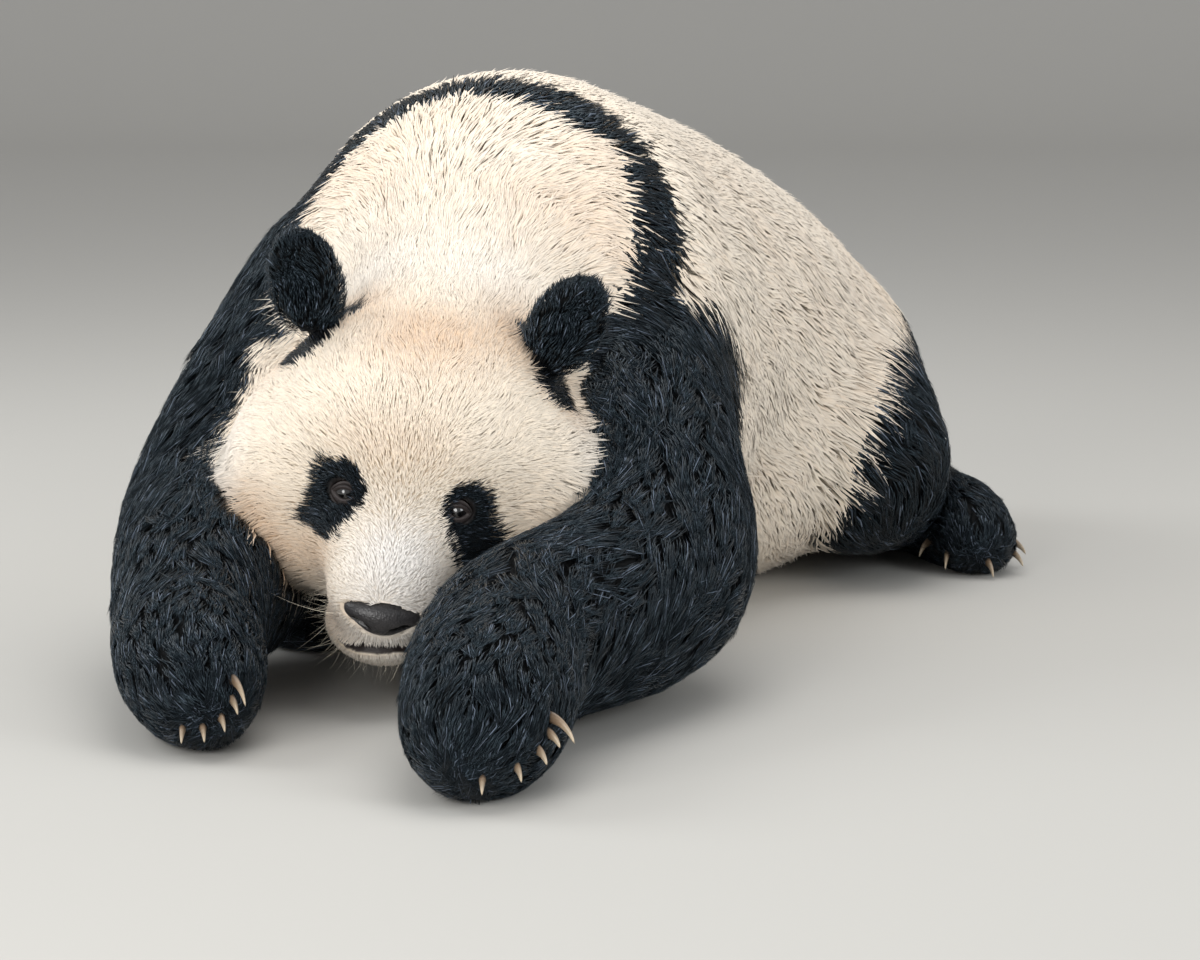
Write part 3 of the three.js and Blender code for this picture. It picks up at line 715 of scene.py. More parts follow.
# %% Bending and gathering the tufts
GUARD_SHARE, STRAY_SHARE, STRAY_SHARE_CLOSE = 0.12, 0.05, 0.14
LEADERS_IN_CREAM, LEADERS_IN_BLACK = 0.083, 0.045


def tuft_lines(seed=11):
    """Foot, bend and tip of each tuft, and its width."""
    draw = np.random.default_rng(seed)
    n = len(roots)
    black = ease(-6, 6, black_at)
    sway = (0.20 + 0.14 * black) * ripple(roots, 75, 21) + 0.14 * ripple(roots, 30, 22)
    sway = sway + draw.normal(0, 0.08, n)
    side = np.cross(normal, way)
    lay = unit(way * np.cos(sway)[:, None] + side * np.sin(sway)[:, None])
    guard = (draw.random(n) < GUARD_SHARE) & (length > 20)
    long = length * np.where(guard, draw.uniform(1.3, 1.7, n), draw.uniform(0.78, 1.18, n))
    wave = (0.13 * ripple(roots, 44, 23) + draw.normal(0, 0.04, n)) * (0.4 + lock)
    bend = roots + lay * (long * 0.5)[:, None] + side * (long * wave)[:, None]
    tip = roots + lay * (long * 0.97)[:, None] - side * (long * wave * 0.8)[:, None]

    # Each bend and tip is brought to its own height under, or a little over, the coat's outline.
    stray = draw.random(n) < np.where(depth < 6, STRAY_SHARE_CLOSE, STRAY_SHARE)
    crease = creases(roots)
    uneven = 0.07 + 0.35 * lock
    goal_bend = -(depth + crease) * np.where(guard, 0.08, 0.16 + uneven * draw.random(n))
    on_ear = np.minimum(d["ear_left"], d["ear_right"]) < 2
    goal_tip = depth * (0.02 - uneven * 0.7 * draw.random(n)) - crease + np.where(stray, 0.3 * depth + 0.8, 0)
    goal_tip += on_ear * 6 * draw.random(n) ** 2
    for _ in range(2):
        bend += normal * (goal_bend - whole(bend))[:, None]
        tip += normal * (goal_tip - whole(tip))[:, None]

    # The nearest leader pulls a tuft's tip towards its own.
    leaders = np.flatnonzero(draw.random(n) < np.where(black > 0.5, LEADERS_IN_BLACK, LEADERS_IN_CREAM))
    tree = kdtree.KDTree(len(leaders))
    for i, j in enumerate(leaders):
        tree.insert(bend[j], i)
    tree.balance()
    nearest = leaders[np.array([tree.find(p)[1] for p in bend])]
    kin = ((normal * normal[nearest]).sum(1) > 0.6) & (np.linalg.norm(tip - tip[nearest], axis=1) < length)
    pull = (lock * kin)[:, None]
    bend = bend + 0.25 * pull * (bend[nearest] - bend)
    tip = tip + pull * (tip[nearest] - tip)
    over = np.flatnonzero(whole(tip) > np.where(on_ear, 7.0, 0.35 * depth + 0.9))
    tip[over] -= slope(whole, tip[over], 2.0) * (whole(tip[over]) - 0.1 * depth[over])[:, None]
    foot = roots - normal * 1.5
    for p in (foot, bend, tip):
        p[:, 2] = np.maximum(p[:, 2], 0.8)
    return foot, bend, tip, width * np.where(guard, 0.8, 1.0)


foot, bend, tip, width = tuft_lines()
clear = mouth(bend) > 0.6
for p in (bend, tip, (foot + bend) / 2, (bend + tip) / 2):
    clear &= (mouth(p) > -2.5) & (nose_pad(p) > 0.3) & (eye_gap(p) > EYE_RADIUS + 0.8)
foot, bend, tip, roots, normal, depth, width, above, black_at = (
    values[clear] for values in (foot, bend, tip, roots, normal, depth, width, above, black_at))
d = {name: values[clear] for name, values in d.items()}
say("tuft lines")

# %% Colour values at each root
small = 2.0 * ripple(roots, 14, 31) + rng.normal(0, 1.6, len(roots))
dark = ease(-1.2, 1.2, black_at + small)
warm = np.clip(tan(above) + rng.normal(0, 0.07, len(roots)), 0, 1)
white = pale(above)
tone = rng.random(len(roots))
# Some hairs of the close coat on the face are darker: painted shade that stands for the dark gaps between the
# short hairs.
tone -= (rng.random(len(roots)) < 0.3) * 0.9 * ease(7, 3, depth)

# %% [markdown]
# ## Pieces of coat
# The coat is parted by body region, so that each piece stays under 200,000 triangles. Each
# tuft also gets its own small patch on a flat map, at the place of its root on an unwrapped
# skin: round the region one way and along it the other. Rows of equal count spread the patches
# over the whole square.

# %% Tufts into meshes
# The five points of a tuft are its foot, three round its bend and its tip.
RING = np.array([[-0.5, 0.0], [0.5, 0.0], [0.0, 0.24]])
SPINDLE = [(0, 2, 1), (0, 3, 2), (0, 1, 3), (1, 2, 4), (2, 3, 4), (3, 1, 4)]
ALONG_TUFT, ACROSS_TUFT = [0, 0.45, 0.45, 0.5, 1.0], [0, -1, 1, 0, 0]
# On its patch, the three sides below the bend fill the lower row and the three above it the upper.
PATCH_SIZE, MARGIN = 0.003, 0.004
LOWER_SIDE, UPPER_SIDE = ((0.16, 0), (0.02, 0.49), (0.31, 0.49)), ((0.02, 0.51), (0.31, 0.51), (0.16, 1))
TUFT_UV = np.array([(k / 3 + x, y) for side in (LOWER_SIDE, UPPER_SIDE) for k in range(3) for x, y in side])


def unwrapped(across, along):
    """Places of the roots on the unit square: rows by one measure, columns by the other."""
    n = len(across)
    rows = max(1, int(round(math.sqrt(n))))
    row = (np.argsort(np.argsort(along, kind="stable"), kind="stable") * rows // n)
    order = np.lexsort((across, row))
    first = np.searchsorted(row[order], np.arange(rows))
    rank = np.empty(n)
    rank[order] = np.arange(n) - first[row[order]]
    count = np.bincount(row, minlength=rows)
    spread = 1 - 2 * MARGIN - PATCH_SIZE
    return np.stack([MARGIN + spread * rank / np.maximum(count[row] - 1, 1),
                     MARGIN + spread * row / max(rows - 1, 1)], 1)


COAT_COLUMNS = {"dark": dark, "warm": warm, "white": white, "tone": tone}


def coat_piece(name, chosen, across, along):
    i = np.flatnonzero(chosen)
    n = len(i)
    run = tip[i] - foot[i]
    side = unit(np.cross(normal[i], run))
    out = unit(np.cross(run, side))
    verts = np.empty((n, 5, 3))
    verts[:, 0], verts[:, 4] = foot[i], tip[i]
    for k, (a, b) in enumerate(RING):
        verts[:, 1 + k] = bend[i] + (side * a + out * b) * width[i][:, None]
    verts[:, :, 2] = np.maximum(verts[:, :, 2], 0.6)
    loops = np.array(SPINDLE).ravel() + 5 * np.arange(n)[:, None]
    mesh = bpy.data.meshes.new(name)
    mesh.vertices.add(n * 5)
    mesh.vertices.foreach_set("co", to_metres(verts.reshape(-1, 3)).astype(np.float32).ravel())
    mesh.loops.add(n * 18)
    mesh.loops.foreach_set("vertex_index", loops.astype(np.int32).ravel())
    mesh.polygons.add(n * 6)
    mesh.polygons.foreach_set("loop_start", np.arange(0, n * 18, 3, dtype=np.int32))
    uv = unwrapped(across[i], along[i])[:, None] + PATCH_SIZE * TUFT_UV
    mesh.uv_layers.new(name="OFBake").data.foreach_set("uv", uv.astype(np.float32).ravel())
    store(mesh, tip=np.tile(ALONG_TUFT, n), across=np.tile(ACROSS_TUFT, n),
          **{key: np.repeat(values[i], 5) for key, values in COAT_COLUMNS.items()})
    mesh.update(calc_edges=True)
    mesh.shade_smooth()
    # A cream tuft is shaded mostly like the body under it, a black one like the rod it is.
    own = np.empty(n * 15, np.float32)
    mesh.vertices.foreach_get("normal", own)
    body_share = (0.88 - 0.73 * dark[i] - 0.25 * ease(5.0, 2.5, depth[i]))[:, None, None]
    soft = unit(normal[i][:, None] * body_share + own.reshape(n, 5, 3) * (1 - body_share))
    mesh.normals_split_custom_set_from_vertices(soft.reshape(-1, 3).tolist())
    print(name, n, "tufts,", n * 6, "triangles")
    return placed(name, mesh)


# %% The coat's pieces
def round_path(path):
    """Angle round a limb and the place along it, for each root."""
    gaps, spots, turns = [], [], []
    done = 0.0
    for a, b in zip(path[:-1, :3], path[1:, :3]):
        run = b - a
        size = np.linalg.norm(run)
        t = np.clip((roots - a) @ run / size ** 2, 0, 1)
        off = roots - a - t[:, None] * run
        level = unit(np.cross(run, [0, 0, 1.0]))
        gaps.append((off * off).sum(1))
        spots.append(done + t * size + off @ run / size)
        turns.append(np.arctan2(off @ level, off @ np.cross(level, unit(run))))
        done += size
    best, cols = np.argmin(gaps, 0), np.arange(len(roots))
    return np.array(turns)[best, cols], np.array(spots)[best, cols]


names, share = shares(d)
nearest_part = np.array(names)[share.argmax(1)]
on = lambda *parts: np.isin(nearest_part, parts)
h = head_xyz(roots)
turn_head, rise_head = np.arctan2(h[:, 0], h[:, 2] + 20), -h[:, 1]
is_face = on("head") & (h[:, 1] > 62)
is_snout = is_face & (h[:, 1] > 104)
behind = on("head") & ~is_face
head_areas = {"muzzle": is_snout, "face": is_face & ~is_snout, "cheek_left": behind & (h[:, 0] > 45),
              "cheek_right": behind & (h[:, 0] < -45), "crown": behind & (np.abs(h[:, 0]) <= 45)}
coat = [coat_piece("coat_" + name, area, turn_head, rise_head) for name, area in head_areas.items()]
for side, s in SIDES:
    q = (roots - in_head(s * EAR_AT[0], *EAR_AT[1:])) @ ear_axes(s)
    coat.append(coat_piece("coat_ear_" + side, on("ear_" + side), np.arctan2(q[:, 0], q[:, 2]), q[:, 1]))
    coat.append(coat_piece("coat_hindleg_" + side, on("leg_" + side), *round_path(PATHS["leg_" + side])))
    around, along_arm = round_path(PATHS["arm_" + side])
    arm = on("arm_" + side)
    upper = along_arm < np.median(along_arm[arm])
    for label, half in (("coat_upper_arm_", upper), ("coat_foreleg_", ~upper)):
        coat.append(coat_piece(label + side, arm & half, around, along_arm))
body_turn, body_along = round_path(PATHS["trunk"])
in_band, trunk_side = black_at > 0, on("trunk", "neck")
rear = trunk_side & ~in_band & (roots[:, 1] >= 40)
trunk_areas = {"shoulders": trunk_side & in_band, "nape": trunk_side & ~in_band & (roots[:, 1] < 40),
               "back": rear & (body_along < 325), "rump": (rear & (body_along >= 325)) | on("tail")}
coat += [coat_piece("coat_" + name, area, body_turn, body_along) for name, area in trunk_areas.items()]
say("coat:", len(roots), "tufts in", len(coat), "pieces")

# %% [markdown]
# ## Colour and surface
# One group of shader nodes turns the coat's values into colour: cream that warms to tan and pales
# to white, black with a cool sheen, darker at the roots than at the tips. The paler, lighter tips
# are painted light on the hair ends, the darker roots painted shade deep in the coat, and a pale
# glint on a few black tips a painted highlight. The skin's material and the coat's material both
# use it, each with its own roughness and bump.

# %% Short words for making nodes
def srgb(r, g, b):
    return tuple(((c / 255 + 0.055) / 1.055) ** 2.4 if c > 10 else c / 255 / 12.92 for c in (r, g, b)) + (1,)


class Graph:
    """A tree of nodes, with a short word for each kind of step."""

    def __init__(self, tree):
        self.tree = tree

    def give(self, socket, value):
        """Joins an input to another node's output, or sets it to a value."""
        if isinstance(value, bpy.types.NodeSocket):
            self.tree.links.new(value, socket)
        else:
            socket.default_value = value

    def dress(self, made, **inputs):
        for key, value in inputs.items():
            self.give(made.inputs[key.replace("_", " ")], value)
        return made

    def add(self, kind, **inputs):
        return self.dress(self.tree.nodes.new(kind), **inputs)

    def maths(self, operation, *values):
        made = self.add("ShaderNodeMath")
        made.operation = operation
        for socket, value in zip(made.inputs, values):
            self.give(socket, value)
        return made.outputs[0]

    def mix(self, share, a, b):
        made = self.add("ShaderNodeMix")
        made.data_type = "RGBA"
        for number, value in ((0, share), (6, a), (7, b)):
            self.give(made.inputs[number], value)
        return made.outputs[2]

    def scaled(self, colour, factor):
        made = self.add("ShaderNodeVectorMath")
        made.operation = "SCALE"
        self.give(made.inputs[0], colour)
        return self.dress(made, Scale=factor).outputs[0]

    def stored(self, name):
        made = self.add("ShaderNodeAttribute")
        made.attribute_name = name
        return made.outputs["Fac"]

    def texture(self, kind, **inputs):
        """A pattern that stays fixed to the piece."""
        place = self.add("ShaderNodeTexCoord").outputs["Object"]
        return self.add("ShaderNodeTex" + kind, Vector=place, **inputs).outputs

    def bump(self, height, strength, distance):
        return self.add("ShaderNodeBump", Height=height, Strength=strength, Distance=distance).outputs["Normal"]

    def ramp(self, share, *stops):
        """Colours along a value, from stops (place, red, green, blue)."""
        made = self.add("ShaderNodeValToRGB", Fac=share)
        line = made.color_ramp.elements
        for end, (at, *colour) in ((0, stops[0]), (1, stops[-1])):
            line[end].position, line[end].color = at, srgb(*colour)
        for at, *colour in stops[1:-1]:
            line.new(at).color = srgb(*colour)
        return made.outputs["Color"]


def material(name, **looks):
    """A new material, its graph and its shader, with inputs of the shader set to plain values."""
    made = bpy.data.materials.new(name)
    made.use_nodes = True
    g = Graph(made.node_tree)
    return made, g, g.dress(made.node_tree.nodes["Principled BSDF"], **looks)


# %% The coat's colour
CREAM, CREAM_TAN, CREAM_WHITE = srgb(243, 225, 199), srgb(222, 180, 134), srgb(249, 244, 238)
# Black, darker at the root as painted shade deep in the coat, and a pale glint painted on a few tips as a painted
# highlight.
BLACK_ROOT, BLACK_TIP, BLACK_PAINTED_GLINT = srgb(5, 8, 11), srgb(11, 16, 22), srgb(128, 139, 157)
BARE_SKIN = srgb(44, 37, 36)


def coat_colour_group():
    tree = bpy.data.node_groups.new("coat_colour", "ShaderNodeTree")
    for label, value in (("Dark", 0.0), ("Warm", 0.0), ("White", 0.0), ("Tone", 0.5), ("Tip", 0.5),
                         ("Across", 0.0), ("Strands", 2.2), ("Cream", CREAM), ("Tan", CREAM_TAN),
                         ("Pale", CREAM_WHITE), ("Black", BLACK_ROOT), ("Black tip", BLACK_TIP)):
        kind = "NodeSocketFloat" if isinstance(value, float) else "NodeSocketColor"
        tree.interface.new_socket(label, in_out="INPUT", socket_type=kind).default_value = value
    for label, kind in (("Color", "NodeSocketColor"), ("Strand", "NodeSocketFloat")):
        tree.interface.new_socket(label, in_out="OUTPUT", socket_type=kind)
    g = Graph(tree)
    given, out = g.add("NodeGroupInput").outputs, g.add("NodeGroupOutput")
    # Fine strands along each tuft, different from tuft to tuft.
    spread = g.add("ShaderNodeCombineXYZ", X=g.maths("MULTIPLY", given["Across"], given["Strands"]),
                   Y=g.maths("MULTIPLY", given["Tone"], 400.0), Z=given["Tip"])
    strand = g.add("ShaderNodeTexNoise", Vector=spread.outputs[0], Scale=1.3, Detail=2.0).outputs["Fac"]
    cream = g.mix(given["Warm"], given["Cream"], given["Tan"])
    # The white share also carries the painted rim light on the cheeks' edges.
    cream = g.mix(given["White"], cream, given["Pale"])
    # Towards its tip a tuft pales to white and grows lighter: painted light on the ends of the hairs, and painted
    # shade at their roots deep in the coat.
    cream = g.mix(g.maths("MULTIPLY", given["Tip"], 0.42), cream, given["Pale"])
    light = g.maths("MULTIPLY_ADD", given["Tone"], 0.15, 0.80)
    light = g.maths("MULTIPLY_ADD", given["Tip"], 0.06, light)
    light = g.maths("MULTIPLY_ADD", strand, 0.14, light)
    # The black is darker at the root than at the tip, as painted shade deep in the coat, and one black tuft in
    # eleven has a pale glint painted on its tip, a painted highlight.
    black = g.mix(given["Tip"], given["Black"], given["Black tip"])
    glint = g.maths("MULTIPLY_ADD", given["Tone"], 11.0, -10.0)
    glint.node.use_clamp = True
    black = g.mix(g.maths("MULTIPLY", glint, given["Tip"]), black, BLACK_PAINTED_GLINT)
    g.dress(out, Color=g.mix(given["Dark"], g.scaled(cream, light), black), Strand=strand)
    return tree


COAT_COLOUR = coat_colour_group()


def coat_colour(g):
    """The group above in a material, fed with the values stored at the points."""
    group = g.add("ShaderNodeGroup")
    group.node_tree = COAT_COLOUR
    for key in ("dark", "warm", "white", "tone", "tip", "across"):
        g.give(group.inputs[key.capitalize()], g.stored(key))
    return group.outputs


def skin_material():
    made, g, shader = material("panda_skin", Specular_IOR_Level=0.35, Sheen_Weight=0.10, Sheen_Roughness=0.4)
    bare_ = g.stored("bare")
    grain = g.texture("Noise", Scale=900.0, Detail=3.0, Roughness=0.6)["Fac"]
    g.dress(shader, Base_Color=g.mix(bare_, coat_colour(g)["Color"], BARE_SKIN),
            Roughness=g.maths("MULTIPLY_ADD", bare_, -0.42, 0.85), Normal=g.bump(grain, 0.5, 0.0008))
    return made


def coat_material():
    made, g, shader = material("panda_coat", Sheen_Roughness=0.4)
    black, colour = g.stored("dark"), coat_colour(g)
    g.dress(shader, Base_Color=colour["Color"], Roughness=g.maths("MULTIPLY_ADD", black, -0.35, 0.62),
            Specular_IOR_Level=g.maths("MULTIPLY_ADD", black, 0.05, 0.38),
            Sheen_Weight=g.maths("MULTIPLY_ADD", black, -0.08, 0.10),
            Specular_Tint=g.mix(black, (1, 1, 1, 1), (0.62, 0.84, 1, 1)),
            Normal=g.bump(colour["Strand"], 0.2, 0.0008))
    return made


SKIN_FINISH, COAT_FINISH = skin_material(), coat_material()
for piece in coat:
    piece.data.materials.append(COAT_FINISH)


# %% [markdown]
# ## Eyes and eyelids
# The eyes are small and dark, and they sit deep, between two thick rims of bare skin. The ball
# is a sphere with a slight bulge for the cornea. Rings painted by the angle from the way it looks
# give the pupil, the dark iris and its darker edge. A lid is a soft fold that follows an almond
# on the ball; both lids become part of the one skin.

# %% Rings of points, joined into shells
def ring_faces(first, rings, round_, closed=False):
    """Quads that join each ring of points to the next."""
    faces = []
    for i in range(rings if closed else rings - 1):
        p, q = first + i * round_, first + (i + 1) % rings * round_
        faces += [(p + k, q + k, q + (k + 1) % round_, p + (k + 1) % round_) for k in range(round_)]
    return faces


def fan(middle, first, round_):
    return [(middle, first + k, first + (k + 1) % round_) for k in range(round_)]


def together(shells):
    """One list of points and one of faces from many."""
    points, faces = np.zeros((0, 3)), []
    for some, joined in shells:
        faces += [tuple(v + len(points) for v in face_) for face_ in joined]
        points = np.concatenate([points, some])
    return points, faces


def outward(made):
    """Turns every face to the outside of its shell."""
    bm = bmesh.new()
    bm.from_mesh(made.data)
    bmesh.ops.recalc_face_normals(bm, faces=bm.faces)
    bm.to_mesh(made.data)
    bm.free()


# %% Eyeballs
LOOK = unit(0.55 * HEAD[:, 1] + 0.45 * unit([0.03, -1.0, 0.14]))
CORNEA = 0.07


def eye_frame(s):
    """The eye's centre, and its level, upward and forward ways."""
    forward = unit(LOOK + s * 0.10 * HEAD[:, 0])
    level = unit(HEAD[:, 0] - (HEAD[:, 0] @ forward) * forward)
    return in_head(s * EYE_AT[0], *EYE_AT[1:]), level, np.cross(level, forward) * -1, forward


def eyeball(side, s):
    at, level, up, forward = eye_frame(s)
    rings, round_ = 40, 48
    points, angle = [at + EYE_RADIUS * (1 + CORNEA) * forward], [0.0]
    for i in range(1, rings):
        a = math.pi * (i / rings) ** 1.25
        r = EYE_RADIUS * (1 + CORNEA * float(ease(0.62, 0.0, a)))
        for t in 2 * math.pi * np.arange(round_) / round_:
            rim = math.cos(t) * level + math.sin(t) * up
            points.append(at + r * (math.cos(a) * forward + math.sin(a) * rim))
            angle.append(a)
    points.append(at - EYE_RADIUS * forward)
    angle.append(math.pi)
    end = len(points) - 1
    faces = fan(0, 1, round_) + ring_faces(1, rings - 1, round_) + fan(end, end - round_, round_)
    made = mesh_object("eyeball_" + side, np.array(points), faces)
    store(made.data, angle=angle)
    outward(made)
    return made


def eye_material():
    made, g, shader = material("wet_eye", Roughness=0.12, Coat_Weight=1.0, Coat_Roughness=0.03)
    rings = g.ramp(g.maths("DIVIDE", g.stored("angle"), 1.2), (0.0, 4, 3, 3), (0.17, 5, 4, 4),
                   (0.22, 14, 11, 10), (0.40, 22, 18, 17), (0.55, 14, 12, 12), (0.62, 9, 7, 6), (0.85, 30, 24, 22))
    fleck = g.texture("Noise", Scale=1400.0, Detail=4.0)["Fac"]
    g.dress(shader, Base_Color=g.scaled(rings, g.maths("MULTIPLY_ADD", fleck, 0.8, 0.6)))
    return made


WET_EYE = eye_material()
eyes = [eyeball(side, s) for side, s in SIDES]
for made in eyes:
    made.data.materials.append(WET_EYE)


# %% Eyelids
# Half width and half height as angles, lift, thickness above and below, and place off the ball.
LID_EDGE, LID_FOLD = (0.80, 0.50, 0.00, 1.9, 1.5, 0.5), (1.08, 0.78, 0.04, 2.6, 2.0, -0.6)


def lid_ring(s, half_wide, half_high, lift, thick_top, thick_bottom, off):
    """A closed rounded rim that follows an almond on the eyeball."""
    at, level, up, forward = eye_frame(s)
    round_, tube_round = 56, 10
    points = []
    for t in 2 * math.pi * np.arange(round_) / round_:
        across = math.copysign(abs(math.cos(t)) ** 0.9, math.cos(t)) * half_wide
        high = math.copysign(abs(math.sin(t)) ** 1.15, math.sin(t)) * half_high + lift
        way = unit(forward + math.tan(across) * level + math.tan(high) * up)
        rim = unit(math.cos(t) * level + math.sin(t) * up)
        thick = thick_bottom + (thick_top - thick_bottom) * (0.5 + 0.5 * math.sin(t))
        centre = at + way * (EYE_RADIUS + off)
        points += [centre + thick * (math.cos(a) * way + math.sin(a) * rim)
                   for a in 2 * math.pi * np.arange(tube_round) / tube_round]
    return np.array(points), ring_faces(0, round_, tube_round, True)


flesh = coords(body_skin.data)
skin_faces = [tuple(p.vertices) for p in body_skin.data.polygons]
lids = [lid_ring(s, *ring) for _, s in SIDES for ring in (LID_EDGE, LID_FOLD)]
body_skin.data = mesh_of("skin", *together([(flesh, skin_faces), *lids]))
outward(body_skin)

# %% The skin's values
at_skin = coords(body_skin.data)
skin_out = outer(at_skin)
by_eye = ease(EYE_RADIUS + 4.2, EYE_RADIUS + 2.2, eye_gap(at_skin))
hairless = np.maximum(by_eye, ease(1.8, 0.5, mouth(at_skin)))
is_lid = np.arange(len(at_skin)) >= len(flesh)
nothing = np.zeros(len(at_skin))
# With tip 0 the skin takes the coat's colour at the roots, and so their painted shade. Its tone is also lower than
# the tufts'.
store(body_skin.data, dark=np.maximum(hairless, ease(-1.5, 1.5, blackness(skin_out))),
      warm=np.clip(tan(skin_out) + 0.15, 0, 1), white=pale(skin_out) * 0.8,
      tone=0.2 + 0.3 * rng.random(len(at_skin)), tip=nothing, across=nothing,
      bare=np.where(is_lid, 1.0, hairless))
body_skin.data.materials.append(SKIN_FINISH)

# %% [markdown]
# ## Nose leather
# The nose is bare, black and pebbled, damp on top, with a slit nostril at each side and a groove
# down the middle to the lip. It is the same field as its imported solid, measured much more
# finely, with the slits and the groove taken out of it. Inside the nostrils and the groove the
# colour is painted near black: partly the darker skin there, partly painted shade in the hollows.

# %% Nose
NOSTRIL = [(5, 184, -70, 1.8), (11, 183, -65, 3.6), (19, 179, -60, 4.8), (27, 171, -56, 3.4)]
GROOVE = [(0, 189, -60, 0.8), (0, 187, -68, 1.8), (0, 180, -79, 2.4)]
cuts = [head_chain(NOSTRIL), head_chain(NOSTRIL, -1), head_chain(GROOVE)]
leather = without(2.5, nose_pad, lambda P: np.minimum.reduce([cut(P) for cut in cuts]))
nose_middle = in_head(0, 168, -44)
points, quads = surface_net(leather, nose_middle - 52, nose_middle + 52, 1.6)
points = drawn_onto(leather, points, 2, 0.3, 1.0)
nose = mesh_object("nose_leather", points, quads)
# Deeper than the pad's surface, in the nostrils and the groove: painted shade in the hollows, over skin that is
# darker there.
store(nose.data, inside=ease(-0.6, -2.6, nose_pad(points)))
outward(nose)


def leather_material():
    made, g, shader = material("damp_nose_leather")
    pebble = g.texture("Voronoi", Scale=520.0)["Distance"]
    fine = g.texture("Noise", Scale=260.0, Detail=4.0)["Fac"]
    mottled = g.mix(fine, srgb(32, 32, 34), srgb(62, 60, 61))
    # Deep in the nostrils and the groove the colour goes to near black, partly as painted shade.
    g.dress(shader, Base_Color=g.mix(g.stored("inside"), mottled, srgb(6, 5, 5)),
            Roughness=g.maths("MULTIPLY_ADD", fine, 0.3, 0.22), Normal=g.bump(pebble, 0.55, 0.0006))
    return made


nose.data.materials.append(leather_material())

# %% [markdown]
# ## Claws
# Each claw is a curved cone of horn, darker at its root, and rooted in the paw under the fur.
# Its centre line is a turn of a circle, and its section is taller than it is wide.

# %% Claws
CLAWS, FORE_CLAW, HIND_CLAW, CLAW_THICK, CLAW_BEND = 5, 30, 22, 5.5, 1.1
FAN = {"left": 46, "right": 26}
ROOTED = 0.45


def claw(ball, azimuth, rise, size):
    """Points, faces and the share of the length at each point, for a claw that grows from a paw's ball."""
    a, e = math.radians(azimuth), math.radians(rise)
    reach = np.array([math.sin(a) * math.cos(e), -math.cos(a) * math.cos(e), math.sin(e)])
    out = unit([reach[0], reach[1], 0])
    far = 20.0
    while whole(np.array([ball + reach * far]))[0] < -6:
        far += 1
    root, side = ball + reach * far, np.cross(out, [0, 0, 1.0])
    rings, round_, full = 16, 14, size + 6

    def middle(t):
        drop = full * (1 - math.cos(CLAW_BEND * t)) / CLAW_BEND * (1 if t > 0 else -0.2)
        return root + out * full * math.sin(CLAW_BEND * t) / CLAW_BEND - np.array([0, 0, drop])

    points, share = [], []
    for i in range(rings):
        t = -ROOTED + (1 + ROOTED) * i / rings
        radius = CLAW_THICK * math.sqrt(max(1 - max(t, 0), 0)) * (1 - 0.25 * max(t, 0))
        up = out * math.sin(CLAW_BEND * t) + np.array([0, 0, math.cos(CLAW_BEND * t)])
        points += [middle(t) + 0.62 * radius * math.cos(w) * side + 0.95 * radius * math.sin(w) * up
                   for w in 2 * math.pi * np.arange(round_) / round_]
        share += [t] * round_
    points = np.array(points + [middle(1.0)])
    points[:, 2] = np.maximum(points[:, 2], 0.3)
    end = len(points) - 1
    faces = [tuple(range(round_))] + ring_faces(0, rings, round_) + fan(end, end - round_, round_)
    return points, faces, share + [1.0]


def paw_claws(name, make):
    made_claws = [claw(*make(i)) for i in range(CLAWS)]
    made = mesh_object(name, *together([(points, faces) for points, faces, _ in made_claws]))
    store(made.data, share=sum([share for _, _, share in made_claws], []))
    outward(made)
    return made


def fore_claw(side, joints):
    """The first claw is long and points along the paw; the others are turned down round its front."""
    def make(i):
        turn = i / (CLAWS - 1) * math.pi / 2
        size = FORE_CLAW if i == 0 else FORE_CLAW * 0.5
        return np.array(joints[4][:3], float), FAN[side] * math.cos(turn), 3 - 24 * math.sin(turn), size
    return make


def hind_claw(joints):
    """A fan round the end of the foot."""
    ball, ahead = np.array(joints[3][:3], float), np.subtract(joints[4][:3], joints[3][:3])
    azimuth = math.degrees(math.atan2(ahead[0], -ahead[1]))
    return lambda i: (ball, azimuth + 24 * (i - (CLAWS - 1) / 2), -14, HIND_CLAW)


def horn_material():
    made, g, shader = material("claw_horn", Roughness=0.34, Subsurface_Weight=0.15,
                               Subsurface_Radius=(0.004, 0.003, 0.002))
    colour = g.ramp(g.stored("share"), (0.0, 60, 48, 38), (0.35, 128, 108, 88), (1.0, 196, 180, 156))
    streak = g.texture("Noise", Scale=340.0, Detail=5.0)["Fac"]
    g.dress(shader, Base_Color=g.scaled(colour, g.maths("MULTIPLY_ADD", streak, 0.5, 0.72)),
            Normal=g.bump(streak, 0.25, 0.0004))
    return made


claws = {}
for side, arm in (("left", LEFT_ARM), ("right", RIGHT_ARM)):
    claws["fore_claw_" + side] = paw_claws("fore_claws_" + side, fore_claw(side, arm))
for side, leg in (("left", LEFT_LEG), ("right", RIGHT_LEG)):
    claws["hind_claw_" + side] = paw_claws("hind_claws_" + side, hind_claw(leg))
HORN = horn_material()
for made in claws.values():
    made.data.materials.append(HORN)
say("eyes, nose and claws")

# %% [markdown]
# ## Whiskers and lashes
# A few long pale bristles stand out of the muzzle, the chin and the cheek, and short dark lashes
# edge the upper lids. Geometry Nodes stand one curved bristle on every point of a small mesh of
# roots, along the way stored at the point, and the result is kept as plain mesh.

